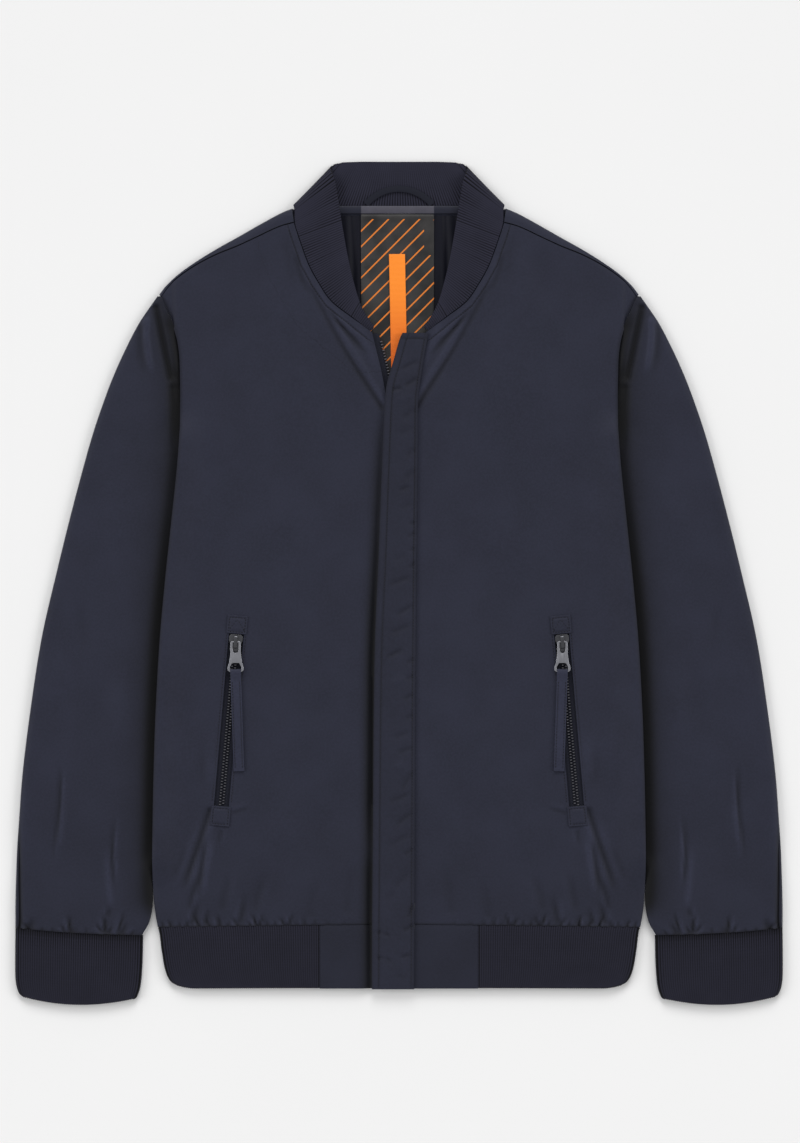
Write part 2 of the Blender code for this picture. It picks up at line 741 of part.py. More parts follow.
def build_closure(parts, cloth, tape, teeth):
    add_sheet("storm_flap", flap_points(), FLAP_WALL, parts, cloth)
    add_sheet("zip_tape_right", tape_points(-1), TRIM, parts, tape)
    add_sheet("zip_tape_left", tape_points(1), TRIM, parts, tape)
    chain_top_y = ZIP_SLIDER_Y - ZIP_SLIDER_SIZE[1] / 2 - GAP
    chain_rows = []
    for y in (chain_top_y, RISE_START_Y, -363.6):
        level = front_level(0.0, y) - CLOTH / 2 + LAYER_GAP / 2 + CHAIN_HEIGHT / 2
        chain_rows.append([(ZIP_X + dx, y, level) for dx in (-CHAIN_WIDTH / 2, CHAIN_WIDTH / 2)])
    add_sheet("zip_chain", chain_rows, CHAIN_HEIGHT, parts, teeth)
    width, length, height = ZIP_SLIDER_SIZE
    slider_z = front_level(0.0, ZIP_SLIDER_Y) + CLOTH / 2 - height / 2
    centre = (ZIP_X, ZIP_SLIDER_Y, slider_z)
    slider = add_block("zip_slider", (width, length, height), centre, parts, teeth)
    bevel = slider.modifiers.new("edges", "BEVEL")
    bevel.width = 0.8 * MM
    bevel.segments = 2


def build_neck(parts, lining, label, orange, tape):
    rows = []
    for y, half in LINING_ROWS:
        rows.append([(half * share, y, LINING_LEVEL) for share in (-1.0, -0.5, 0.0, 0.5, 1.0)])
    add_sheet("neck_lining", rows, TRIM, parts, lining)
    rows = []
    for y in (LABEL_TOP_Y, (LABEL_TOP_Y + LABEL_BOTTOM_Y) / 2, LABEL_BOTTOM_Y):
        rows.append([(x, y, LABEL_LEVEL) for x in (LABEL_LEFT_X, LABEL_RIGHT_X)])
    add_sheet("neck_label", rows, TRIM, parts, label)
    rows = []
    for x, y in (RIBBON_TOP, RIBBON_BOTTOM):
        rows.append([(x + dx, y, RIBBON_LEVEL) for dx in (-RIBBON_WIDTH / 2, RIBBON_WIDTH / 2)])
    add_sheet("ribbon", rows, TRIM, parts, orange)
    rows = []
    for y in (NECK_TAPE_TOP_Y, NECK_TAPE_BOTTOM_Y):
        level = LABEL_LEVEL + LAYER_GAP
        rows.append([(x, y, level) for x in (-NECK_TAPE_HALF, 0.0, NECK_TAPE_HALF)])
    add_sheet("neck_tape", rows, TRIM, parts, tape)
    build_hanger_loop(parts, tape)


def build_hanger_loop(parts, tape):
    """A ribbon bowed over the inside of the collar, its feet at the neck tape."""
    height = LOOP_TOP_Y - LOOP_WIDTH / 2 - LOOP_FOOT_Y
    radius = (LOOP_HALF_SPAN ** 2 + height ** 2) / (2 * height)
    centre_y = LOOP_FOOT_Y + height - radius
    half_angle = math.asin(LOOP_HALF_SPAN / radius)
    rows = []
    steps = 12
    for step in range(steps + 1):
        angle = half_angle * (2 * step / steps - 1)
        line = []
        for offset in (-LOOP_WIDTH / 2, LOOP_WIDTH / 2):
            x = (radius + offset) * math.sin(angle)
            y = centre_y + (radius + offset) * math.cos(angle)
            line.append((x, y, RIB + GAP + TRIM / 2))
        rows.append(line)
    add_sheet("hanger_loop", rows, TRIM, parts, tape)


def pocket_slant():
    return math.atan2(POCKET_BOTTOM[0] - POCKET_TOP[0], POCKET_TOP[1] - POCKET_BOTTOM[1])


def pocket_length():
    return math.hypot(POCKET_BOTTOM[0] - POCKET_TOP[0], POCKET_TOP[1] - POCKET_BOTTOM[1])


def add_pocket_frame(name, side, collection):
    """An empty at the top end of a pocket's window, its Y up the zip."""
    frame = bpy.data.objects.new(name, None)
    frame.location = (side * POCKET_TOP[0] * MM, POCKET_TOP[1] * MM, 0.0)
    frame.rotation_euler = (0.0, 0.0, side * pocket_slant())
    collection.objects.link(frame)
    return frame


def add_pocket_window(side, cutters, material):
    """The cutter of a pocket's window in its front."""
    name = "window_cutter_right" if side < 0 else "window_cutter_left"
    frame = add_pocket_frame(name + "_frame", side, cutters)
    level = BACK_LEVEL + SEPARATION
    size = (WINDOW_WIDTH, pocket_length(), 3 * CLOTH)
    cutter = add_block(name, size, (0.0, -pocket_length() / 2, level), cutters, material)
    cutter.parent = frame
    return as_cutter(cutter)


def slider_outline():
    """A zip slider from above: broad shoulders, a slimmer tail."""
    shoulder = SLIDER_SHOULDER / 2
    tail = SLIDER_TAIL / 2
    corner = 2.4
    points = arc((shoulder - corner, -corner), corner, 0, 90, 4)
    points += arc((-shoulder + corner, -corner), corner, 90, 180, 4)
    points += [(-shoulder, -5.5), (-tail, -8.5), (-tail, -SLIDER_LENGTH + 1.0)]
    points += [(-tail + 1.0, -SLIDER_LENGTH), (tail - 1.0, -SLIDER_LENGTH)]
    points += [(tail, -SLIDER_LENGTH + 1.0), (tail, -8.5), (shoulder, -5.5)]
    return points


def hinge_height():
    """The pull's axis: the head of its strap lies on the front."""
    return BACK_LEVEL + SEPARATION + CLOTH / 2 + GAP + STRAP_HEAD / 2


def add_slider(name, frame, parts, cutters, metal):
    """A slider's plate, standing on its tape, with the bridge that holds the pull."""
    base = BACK_LEVEL + SEPARATION - CLOTH / 2
    plate = add_outline(name, [slider_outline()], SLIDER_BODY_HEIGHT, parts, metal)
    plate.location = (0.0, -SLIDER_INSET * MM, (base + SLIDER_BODY_HEIGHT / 2) * MM)
    plate.parent = frame
    plate_top = base + SLIDER_BODY_HEIGHT - hinge_height()
    half = BRIDGE_LENGTH / 2
    corner = 2.0
    top = BRIDGE_REACH + BRIDGE_WALL
    outer = [(-half, plate_top - 1.0), (half, plate_top - 1.0)]
    outer += arc((half - corner, top - corner), corner, 0, 90, 3)
    outer += arc((-half + corner, top - corner), corner, 90, 180, 3)
    reach = half - 1.6
    turn = corner - BRIDGE_WALL
    hole = [(reach, plate_top), (-reach, plate_top)]
    hole += arc((-reach + turn, BRIDGE_REACH - turn), turn, 180, 90, 3)
    hole += arc((reach - turn, BRIDGE_REACH - turn), turn, 90, 0, 3)
    bridge = add_outline(name + "_bridge", [outer, hole], BRIDGE_WIDTH, cutters, metal)
    bridge.rotation_euler = (math.pi / 2, 0.0, math.pi / 2)
    bridge.location = (0.0, -(HINGE_OFFSET + SLIDER_INSET) * MM, hinge_height() * MM)
    bridge.parent = frame
    as_cutter(bridge)
    cut(plate, bridge, "UNION")


def add_puller(name, pull, parts, metal):
    """A flat puller from above, its hinge bar at the origin: slot, plate, open eye and end bar."""
    neck = PULLER_NECK / 2
    eye = PULLER_EYE / 2
    end = -PULLER_LENGTH
    plate_end = -(SLOT_LENGTH + PLATE_LENGTH)
    right = [(neck - 0.8, BAR / 2), (neck, -0.8), (neck, -SLOT_LENGTH)]
    right += [(neck + 1.2, plate_end), (eye, plate_end - 3.6), (eye, end + 1.5), (eye - 1.6, end)]
    outline = right + [(-x, y) for x, y in reversed(right)]
    slot_half = neck - PULLER_RIM
    slot = [(slot_half, -BAR / 2), (-slot_half, -BAR / 2)]
    slot += arc((0.0, -SLOT_LENGTH + slot_half), slot_half, 180, 360, 8)
    eye_half = eye - PULLER_RIM
    opening = [(slot_half + 0.6, plate_end), (eye_half, plate_end - 3.6), (eye_half, end + BAR)]
    opening += [(-x, y) for x, y in reversed(opening)]
    puller = add_outline(name, [outline, slot, opening], BAR, parts, metal)
    puller.parent = pull


def add_strap(name, pull, parts, cloth):
    """A folded strap round the puller's end bar, lying on the front."""
    head = STRAP_HEAD / 2
    outer = arc((0.0, 0.0), head, -90, 90, 8)
    outer += [(-3.0, head * 0.8), (-6.5, STRAP_WALL - head + 0.2), (-9.0, STRAP_WALL - head)]
    outer += [(-STRAP_LENGTH, STRAP_WALL - head), (-STRAP_LENGTH, -head)]
    hole = arc((0.0, 0.0), STRAP_HOLE / 2, 0, 315, 7)
    strap = add_outline(name, [outer, hole], STRAP_WIDTH, parts, cloth)
    strap.rotation_euler = (math.pi / 2, 0.0, math.pi / 2 + STRAP_TILT * (1 if "right" in name else -1))
    strap.location = (0.0, (-PULLER_LENGTH + BAR / 2) * MM, 0.0)
    strap.parent = pull


def hinge_point(side):
    """Where a pocket's pull is hinged, in millimetres."""
    slant = pocket_slant()
    down = HINGE_OFFSET + SLIDER_INSET
    x = POCKET_TOP[0] + down * math.sin(slant)
    return side * x, POCKET_TOP[1] - down * math.cos(slant), hinge_height()


def build_pocket(side, parts, cutters, cloth, tape, teeth, metal):
    name = "pocket_right_" if side < 0 else "pocket_left_"
    frame = add_pocket_frame(name + "frame", side, parts)
    length = pocket_length()
    under = BACK_LEVEL + SEPARATION - CLOTH / 2
    top = under + CLOTH
    tape_size = (POCKET_TAPE_WIDTH, length + 2 * POCKET_TAPE_MARGIN, TRIM)
    chain_length = length - SLIDER_LENGTH - 2 * SLIDER_INSET - GAP
    chain_y = -(length + SLIDER_LENGTH + GAP) / 2
    pieces = (
        ("tape", tape_size, (0.0, -length / 2, under - LAYER_GAP - TRIM / 2), tape),
        ("chain", (CHAIN_WIDTH, chain_length, CHAIN_HEIGHT), (0.0, chain_y, under + CHAIN_HEIGHT / 2), teeth),
        ("patch_top", (*TOP_PATCH, TRIM), (0.0, GAP + TOP_PATCH[1] / 2, top + GAP + TRIM / 2), cloth),
        (
            "patch_bottom",
            (*BOTTOM_PATCH, TRIM),
            (0.0, -length - GAP - BOTTOM_PATCH[1] / 2, top + GAP + TRIM / 2),
            cloth,
        ),
    )
    for piece, size, centre, material in pieces:
        block = add_block(name + piece, size, centre, parts, material)
        block.parent = frame
    add_slider(name + "slider", frame, parts, cutters, metal)
    pull = bpy.data.objects.new(name + "pull", None)
    pull.location = [value * MM for value in hinge_point(side)]
    parts.objects.link(pull)
    add_puller(name + "puller", pull, parts, metal)
    add_strap(name + "strap", pull, parts, cloth)


def main():
    clear_scene()
    parts = make_collection("bomber_jacket")
    cutters = make_collection("cutters")
    cloth = make_material("shell_cloth", SHELL)
    knit = make_material("rib_knit", KNIT)
    lining = make_material("lining_cloth", LINING)
    label = make_material("label_cloth", LABEL)
    orange = make_material("orange_ribbon", ORANGE)
    tape = make_material("zip_tape_cloth", ZIP_TAPE)
    teeth = make_material("zip_teeth", ZIP_TEETH)
    metal = make_material("pull_metal", METAL)
    build_body(parts, cutters, cloth)
    build_sleeves(parts, cloth, knit)
    build_bands(parts, cloth, knit)
    build_closure(parts, cloth, tape, teeth)
    build_neck(parts, lining, label, orange, tape)
    for side in (-1, 1):
        build_pocket(side, parts, cutters, cloth, tape, teeth, metal)


if __name__ == "__main__":
    main()
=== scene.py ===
"""Looks of a bomber jacket laid flat, on the frame of its CAD model.

Sizes in the tables are millimetres and become metres when a mesh is made. X runs across the
jacket, Y from hem to collar, Z up. Right and left are the wearer's; tables hold the left half
(+X), and the right half mirrors it.
"""
import math
from collections import namedtuple

import bmesh
import bpy
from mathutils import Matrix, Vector


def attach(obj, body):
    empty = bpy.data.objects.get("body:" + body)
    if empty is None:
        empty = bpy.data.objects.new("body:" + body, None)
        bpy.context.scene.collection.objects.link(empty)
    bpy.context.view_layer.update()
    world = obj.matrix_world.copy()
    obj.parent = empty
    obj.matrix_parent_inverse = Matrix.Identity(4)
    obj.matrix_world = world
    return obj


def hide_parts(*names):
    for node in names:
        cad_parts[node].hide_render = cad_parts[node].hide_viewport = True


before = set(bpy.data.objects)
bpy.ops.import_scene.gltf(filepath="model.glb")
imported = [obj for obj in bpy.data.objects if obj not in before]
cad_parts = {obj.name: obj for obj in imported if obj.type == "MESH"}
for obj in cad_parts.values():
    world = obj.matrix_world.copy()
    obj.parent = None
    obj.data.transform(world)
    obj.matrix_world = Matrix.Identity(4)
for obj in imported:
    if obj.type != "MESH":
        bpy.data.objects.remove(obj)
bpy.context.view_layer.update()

bl_info = {
    "name": "Flat-laid bomber jacket",
    "version": (1, 0, 0),
    "blender": (4, 5, 0),
    "location": "View3D > Sidebar > Jacket",
    "description": "Cloth, rib knit, zips and trims of a bomber jacket laid flat",
    "category": "Object",
}

MM = 0.001
GAP = 0.3
CLOTH = 2.2
RIB = 3.0
FLAP_WALL = 2.0
TRIM = 1.0

# Layers, from the surface up
AIR = 3.4
NECK_RISE = 1.6
RISE_START_Y = 112.0
RISE_END_Y = 171.9
LAYER_GAP = 0.2
FOLD_RADIUS = 6.0
EDGE_OPENING = 0.42
BACK_LEVEL = CLOTH / 2
SEPARATION = CLOTH + AIR
FRONT_LEVEL = BACK_LEVEL + SEPARATION
LINING_LEVEL = CLOTH + LAYER_GAP + TRIM / 2
LABEL_LEVEL = LINING_LEVEL + TRIM + LAYER_GAP
RIBBON_LEVEL = LABEL_LEVEL + TRIM + LAYER_GAP
SLEEVE_LIFT = 5.6
LIFT_REACH = 32.0
TUCK = 6.0
TUCKED_SEPARATION = CLOTH + GAP
THIN_REACH = 24.0
SLEEVE_COLUMNS = 46
SLEEVE_EDGE_STEPS = (0.6, 1.4, 2.4, 3.6, 5.0, 7.0)
PANEL_EDGE_STEPS = (7.4, 6.0, 4.8, 3.7, 2.8, 2.0, 1.2, 0.5, 0.0)
FRONT_WIDTH = 210.0
BACK_HALF_WIDTH = 218.0
SHOULDER_WIDTH = 120.0
ARMHOLE_DIP = 3.2
ARMHOLE_TUCK = 3.4
SIDE_END_Y = 135.0
UNDERARM_Y = 160.0

# Body rows from hem to shoulder: side edge or armhole, the front's free edge or neck seam, and
# the middle of the back
BodyRow = namedtuple("BodyRow", "side_x side_y edge_x edge_y back_y")
BODY_ROWS = (
    BodyRow(218.0, -309.6, 9.9, -306.9, -306.9),
    BodyRow(220.4, -297.0, 9.9, -292.0, -292.0),
    BodyRow(222.2, -278.0, 9.9, -272.0, -272.0),
    BodyRow(223.0, -250.0, 9.9, -242.0, -242.0),
    BodyRow(222.7, -215.0, 9.9, -204.0, -204.0),
    BodyRow(221.8, -170.0, 9.9, -155.0, -155.0),
    BodyRow(220.0, -115.0, 9.9, -95.0, -95.0),
    BodyRow(216.3, -50.0, 9.9, -25.0, -30.0),
    BodyRow(210.8, 10.0, 9.9, 45.0, 35.0),
    BodyRow(205.4, 60.0, 9.9, 112.0, 90.0),
    BodyRow(200.7, 105.0, 12.6, 171.9, 140.0),
    BodyRow(198.5, 135.0, 24.3, 225.9, 180.0),
    BodyRow(197.2, 160.0, 44.1, 240.3, 215.0),
    BodyRow(197.4, 185.0, 61.2, 253.8, 243.0),
    BodyRow(198.6, 210.0, 72.9, 270.9, 268.0),
    BodyRow(203.4, 234.0, 81.9, 288.0, 292.0),
    BodyRow(210.0, 250.0, 90.0, 310.5, 314.0),
    BodyRow(215.1, 259.2, 94.6, 325.0, 332.5),
)
NECK_ROW = 11
NECK_CORNER_X = 96.3
NECK_CORNER_Y = 336.3
NECK_SHARE = 0.45
SHOULDER_GAP = 1.1

ShoulderPoint = namedtuple("ShoulderPoint", "x fold_y seam_drop")
SHOULDER = (
    ShoulderPoint(96.3, 336.3, 11.3),
    ShoulderPoint(107.1, 331.6, 9.8),
    ShoulderPoint(126.0, 321.3, 8.4),
    ShoulderPoint(144.9, 310.5, 6.4),
    ShoulderPoint(164.3, 299.7, 3.6),
    ShoulderPoint(181.8, 288.9, 2.0),
    ShoulderPoint(197.1, 278.1, 1.6),
    ShoulderPoint(208.8, 267.3, 1.6),
    ShoulderPoint(215.1, 259.2, 1.6),
)

SleeveRow = namedtuple("SleeveRow", "outer_x outer_y inner_x inner_y state")
SLEEVE_ROWS = (
    SleeveRow(345.3, -310.2, 230.2, -316.8, "fold"),
    SleeveRow(345.4, -300.0, 223.4, -304.0, "fold"),
    SleeveRow(345.3, -285.0, 220.6, -287.0, "fold"),
    SleeveRow(344.6, -262.0, 220.8, -262.0, "fold"),
    SleeveRow(343.8, -240.0, 219.6, -240.0, "tuck"),
    SleeveRow(342.0, -212.0, 222.7 - TUCK, -212.0, "tuck"),
    SleeveRow(338.8, -170.0, 221.8 - TUCK, -170.0, "tuck"),
    SleeveRow(332.0, -115.0, 220.0 - TUCK, -115.0, "tuck"),
    SleeveRow(321.9, -50.0, 216.3 - TUCK, -50.0, "tuck"),
    SleeveRow(308.2, 10.0, 210.8 - TUCK, 10.0, "tuck"),
    SleeveRow(295.9, 60.0, 205.4 - TUCK, 60.0, "tuck"),
    SleeveRow(284.0, 105.0, 200.7 - TUCK, 105.0, "tuck"),
    SleeveRow(275.4, 135.0, 198.6, 135.0, "tuck"),
    SleeveRow(267.0, 160.0, 197.2, 160.0, "join"),
    SleeveRow(257.6, 185.0, 197.4, 185.0, "join"),
    SleeveRow(246.5, 209.7, 198.6, 210.0, "join"),
    SleeveRow(235.0, 232.0, 203.4, 234.0, "join"),
    SleeveRow(226.0, 245.7, 209.4, 248.4, "join"),
    SleeveRow(217.6, 257.6, 213.7, 257.6, "join"),
)

CuffRow = namedtuple("CuffRow", "outer_x outer_y inner_x inner_y bow")
CUFF_ROWS = (
    CuffRow(345.3, -310.6, 230.3, -317.2, 0.0),
    CuffRow(345.6, -335.0, 230.9, -342.0, 1.5),
    CuffRow(345.3, -357.0, 232.4, -361.0, 4.0),
    CuffRow(342.6, -368.0, 235.2, -370.8, 6.6),
    CuffRow(338.8, -371.6, 237.2, -373.4, 6.9),
)
CUFF_SEPARATION = 4.6
CUFF_WIDTH = 113.0
RIB_COLUMNS = 4

HemRow = namedtuple("HemRow", "side_x side_y front_y")
HEM_ROWS = (
    HemRow(217.4, -309.9, -307.2),
    HemRow(214.2, -328.0, -327.0),
    HemRow(210.9, -347.0, -347.0),
    HemRow(206.6, -357.0, -359.4),
    HemRow(201.0, -360.8, -364.4),
)
HEM_CORNER_SHARE = 0.86
RIB_START_X = 71.3
TAB_RIGHT_START_X = 9.9
TAB_LEFT_START_X = 5.9
HEM_HALF_WIDTH = 214.0
HEM_SEAM_Y = -306.9
HEM_EDGE_Y = -364.4
HEM_SLOPE = 0.0124

CollarRow = namedtuple("CollarRow", "seam_x seam_y top_x top_y turn")
COLLAR_ROWS = (
    CollarRow(25.2, 227.2, 22.6, 230.4, 0.0),
    CollarRow(34.4, 234.0, 29.6, 240.6, 0.0),
    CollarRow(43.7, 240.8, 35.8, 253.6, 0.0),
    CollarRow(60.8, 254.3, 40.8, 270.8, 0.0),
    CollarRow(72.4, 271.2, 44.9, 287.9, 0.0),
    CollarRow(81.4, 288.2, 48.0, 304.0, 0.0),
    CollarRow(89.5, 310.6, 51.6, 325.0, 0.0),
    CollarRow(93.4, 324.0, 54.6, 344.0, 0.0),
    CollarRow(93.6, 334.6, 57.6, 361.0, 0.08),
    CollarRow(94.0, 339.4, 61.0, 371.5, 0.5),
    CollarRow(90.4, 340.2, 57.8, 376.2, 0.92),
    CollarRow(84.0, 338.6, 51.0, 378.2, 1.0),
    CollarRow(56.0, 334.6, 36.0, 379.2, 1.0),
    CollarRow(28.0, 333.2, 18.0, 379.3, 1.0),
    CollarRow(0.0, 332.9, 0.0, 379.3, 1.0),
)
COLLAR_BACK_LEVEL = RIB / 2

FlapRow = namedtuple("FlapRow", "y free_x seam_x")
FLAP_ROWS = (
    FlapRow(224.8, 3.4, 26.0),
    FlapRow(221.0, 1.2, 25.6),
    FlapRow(200.0, -4.8, 21.9),
    FlapRow(180.0, -10.6, 18.8),
    FlapRow(164.7, -12.6, 17.1),
    FlapRow(110.0, -15.0, 16.6),
    FlapRow(20.0, -18.4, 15.6),
    FlapRow(-45.0, -21.2, 15.1),
    FlapRow(-105.0, -22.4, 14.6),
    FlapRow(-200.0, -23.2, 14.2),
    FlapRow(-300.0, -24.0, 13.8),
    FlapRow(-365.2, -24.3, 13.5),
)

FLAP_COLUMNS = 26
FLAP_TOP_Y = 224.4
FREE_STITCH_INSET = 6.2
SEAM_STITCH_INSET = 2.4
TOP_STITCH_INSET = 4.4
TOP_STITCH_Y = 220.0
STITCH_SINK = 0.12
# Painted shade kept in the cloth's fold attribute: along the flap's edges, in narrow folds, darker towards the
# hem, and beside the rib bands' seams
FLAP_EDGE_SHADE = 0.5
PAINTED_SHADE_BREADTH = 2.2
LOW_SHADE = 0.12
SEAM_SHADE = 0.9
ZIP_X = -2.0
TapeRow = namedtuple("TapeRow", "y right_x left_x")
TAPE_ROWS = (
    TapeRow(224.6, -19.4, 16.4),
    TapeRow(222.6, -17.6, 15.6),
    TapeRow(218.0, -16.6, 14.2),
    TapeRow(200.0, -12.2, 9.6),
    TapeRow(184.5, -8.8, 4.6),
    TapeRow(171.9, -7.8, 4.2),
    TapeRow(155.0, -6.6, 3.0),
    TapeRow(148.0, ZIP_X - 0.2, ZIP_X + 0.2),
    TapeRow(112.0, ZIP_X - 0.2, ZIP_X + 0.2),
    TapeRow(-100.0, ZIP_X - 0.2, ZIP_X + 0.2),
    TapeRow(-300.0, ZIP_X - 0.2, ZIP_X + 0.2),
    TapeRow(-363.6, ZIP_X - 0.2, ZIP_X + 0.2),
)
TAPE_WIDTH = 15.0
CHAIN_TOP_Y = 217.0
CHAIN_BOTTOM_Y = -362.0

LABEL_LEFT_X = -34.2
LABEL_RIGHT_X = 31.5
LABEL_TOP_Y = 331.8
LABEL_BOTTOM_Y = 190.0
LABEL_SPAN = 65.7
RIBBON_WIDTH = 14.4
RIBBON_TOP = (-1.8, 296.0)
RIBBON_BOTTOM = (0.2, 191.5)
NECK_TAPE_HALF = 57.0
NECK_TAPE_TOP_Y = 339.4
NECK_TAPE_BOTTOM_Y = 332.6
LOOP_HALF_SPAN = 29.7
LOOP_FOOT_Y = 340.6
LOOP_TOP_Y = 357.4
LOOP_WIDTH = 5.4

POCKET_TOP = (146.3, -45.9)
POCKET_BOTTOM = (159.8, -200.7)
WINDOW_WIDTH = 13.6
POCKET_TAPE_OVERLAP = 7.0
POCKET_TAPE_HALF = 11.6
TOOTH_OFFSET = 1.45
TOP_PATCH = (18.2, 16.4)
BOTTOM_PATCH = (17.4, 17.6)
SLIDER_LENGTH = 15.5
SLIDER_INSET = 0.4
HINGE_OFFSET = 6.6
PULLER_LENGTH = 27.0
BAR = 1.2
STRAP_WIDTH = 9.6
STRAP_LENGTH = 90.0
STRAP_WALL = 2.0
STRAP_TILT = math.radians(1.9)

# Folds in the cloth, as soft troughs (negative depth) or ridges: three points, the breadth, the
# depth, the height of the lip beside it, and how much of its length fades out at each end
Crease = namedtuple("Crease", "ax ay bx by cx cy breadth depth lip fade_a fade_b")
FRONT_CREASES = (
    Crease(86.0, 281.0, 58.0, 226.0, 12.4, 153.5, 2.6, -1.5, 0.7, 0.35, 0.05),
    Crease(80.0, 264.0, 52.0, 218.0, 19.0, 178.0, 4.2, 0.9, 0.0, 0.3, 0.3),
    Crease(69.6, 254.0, 46.0, 224.0, 24.0, 203.0, 2.2, -1.0, 0.4, 0.3, 0.3),
    Crease(59.4, 240.5, 44.0, 224.0, 28.0, 211.0, 1.8, -0.8, 0.4, 0.2, 0.4),
    Crease(93.4, 300.0, 88.0, 276.0, 79.0, 258.0, 2.6, -0.8, 0.3, 0.3, 0.4),
    Crease(103.0, 318.0, 99.0, 288.0, 94.0, 258.0, 4.6, -0.6, 0.0, 0.3, 0.4),
    Crease(116.0, 318.0, 128.0, 276.0, 138.0, 232.0, 10.0, -0.8, 0.0, 0.4, 0.5),
    Crease(40.0, 240.0, 33.0, 222.0, 17.0, 185.0, 3.4, 0.6, 0.0, 0.3, 0.4),
    # from the pocket down to the side
    Crease(169.0, -201.0, 181.0, -236.0, 196.0, -281.0, 2.9, -1.7, 0.9, 0.04, 0.3),
    Crease(173.6, -227.0, 178.0, -258.0, 182.0, -286.0, 2.7, -1.3, 0.8, 0.25, 0.3),
    Crease(175.0, -207.0, 190.0, -246.0, 206.0, -281.0, 3.6, 0.9, 0.0, 0.3, 0.4),
    Crease(189.0, -234.0, 198.0, -256.0, 206.0, -272.0, 3.4, -0.7, 0.0, 0.4, 0.4),
    Crease(180.0, -262.0, 186.0, -280.0, 189.0, -298.0, 2.2, -0.8, 0.4, 0.4, 0.3),
    Crease(166.0, -222.0, 172.0, -246.0, 176.0, -268.0, 3.2, 0.5, 0.0, 0.4, 0.4),
    Crease(151.0, -207.0, 141.0, -204.0, 132.0, -201.0, 2.0, -0.5, 0.3, 0.1, 0.5),
    Crease(160.0, -221.0, 161.0, -228.0, 163.0, -238.0, 1.8, -0.6, 0.2, 0.1, 0.5),
    Crease(168.0, -190.0, 170.0, -160.0, 166.0, -120.0, 5.0, 0.6, 0.0, 0.3, 0.5),
    Crease(172.5, -192.0, 177.0, -170.0, 176.0, -140.0, 4.0, -0.5, 0.0, 0.4, 0.5),
    # broad unevenness of the panel
    Crease(58.0, -96.0, 70.0, -112.0, 84.0, -128.0, 10.0, -0.7, 0.0, 0.5, 0.5),
    Crease(108.0, 96.0, 100.0, 30.0, 110.0, -40.0, 26.0, 0.8, 0.0, 0.5, 0.5),
    Crease(150.0, 150.0, 146.0, 100.0, 152.0, 40.0, 20.0, -0.6, 0.0, 0.5, 0.5),
    Crease(60.0, 60.0, 74.0, 0.0, 66.0, -70.0, 22.0, -0.6, 0.0, 0.5, 0.5),
    Crease(44.0, -160.0, 60.0, -210.0, 72.0, -262.0, 14.0, -0.8, 0.0, 0.5, 0.5),
    Crease(100.0, -180.0, 108.0, -220.0, 104.0, -262.0, 16.0, 0.8, 0.0, 0.5, 0.5),
    Crease(186.0, -110.0, 190.0, -150.0, 188.0, -196.0, 10.0, 0.7, 0.0, 0.5, 0.5),
    Crease(168.0, 118.0, 176.0, 60.0, 180.0, 0.0, 12.0, 0.6, 0.0, 0.5, 0.5),
    Crease(36.0, -248.0, 44.0, -272.0, 46.0, -300.0, 5.0, -0.7, 0.0, 0.5, 0.1),
    Crease(70.0, -262.0, 78.0, -282.0, 80.0, -303.0, 4.4, -0.6, 0.0, 0.5, 0.1),
    Crease(118.0, -258.0, 126.0, -276.0, 130.0, -298.0, 4.0, -0.7, 0.3, 0.5, 0.2),
    Crease(152.0, -256.0, 156.0, -276.0, 160.0, -298.0, 3.6, -0.7, 0.3, 0.5, 0.2),
)
# Gathers over the hem seam: foot, top, breadth, depth
Gather = namedtuple("Gather", "foot_x foot_y top_x top_y breadth depth")
HEM_GATHERS = (
    Gather(212.4, -309.4, 213.6, -303.0, 1.5, -1.0),
    Gather(205.2, -309.2, 208.0, -301.6, 1.6, -1.4),
    Gather(198.0, -309.2, 196.0, -303.0, 1.5, -1.0),
    Gather(191.0, -309.2, 190.0, -301.4, 1.8, -1.5),
    Gather(185.6, -305.0, 180.4, -282.0, 2.4, -1.2),
    Gather(179.6, -309.2, 185.4, -296.6, 1.5, -1.9),
    Gather(174.4, -306.0, 170.8, -290.0, 2.0, -1.1),
    Gather(170.2, -309.2, 175.0, -301.0, 1.4, -1.4),
    Gather(161.8, -309.0, 163.4, -296.4, 1.6, -1.9),
    Gather(154.0, -309.0, 152.0, -303.0, 1.4, -0.9),
    Gather(145.0, -308.8, 150.8, -299.0, 1.5, -1.6),
    Gather(142.8, -304.0, 137.6, -276.0, 2.6, -1.1),
    Gather(133.4, -308.6, 136.4, -303.0, 1.3, -1.0),
    Gather(128.0, -308.6, 133.2, -295.0, 1.5, -1.8),
    Gather(125.6, -308.6, 121.6, -296.0, 1.6, -1.4),
    Gather(118.6, -308.6, 120.8, -300.0, 1.4, -1.2),
    Gather(112.4, -308.4, 110.6, -302.0, 1.4, -0.9),
    Gather(102.4, -308.4, 108.6, -299.0, 1.5, -1.5),
    Gather(99.4, -308.2, 94.6, -294.0, 1.6, -1.3),
    Gather(92.0, -308.2, 92.6, -303.0, 1.4, -0.8),
    Gather(85.2, -308.2, 86.0, -298.0, 1.5, -1.2),
    Gather(76.8, -308.0, 74.6, -301.0, 1.6, -0.8),
    Gather(64.0, -307.8, 66.0, -302.6, 1.8, -0.5),
    Gather(50.0, -307.6, 48.0, -303.0, 1.8, -0.4),
)
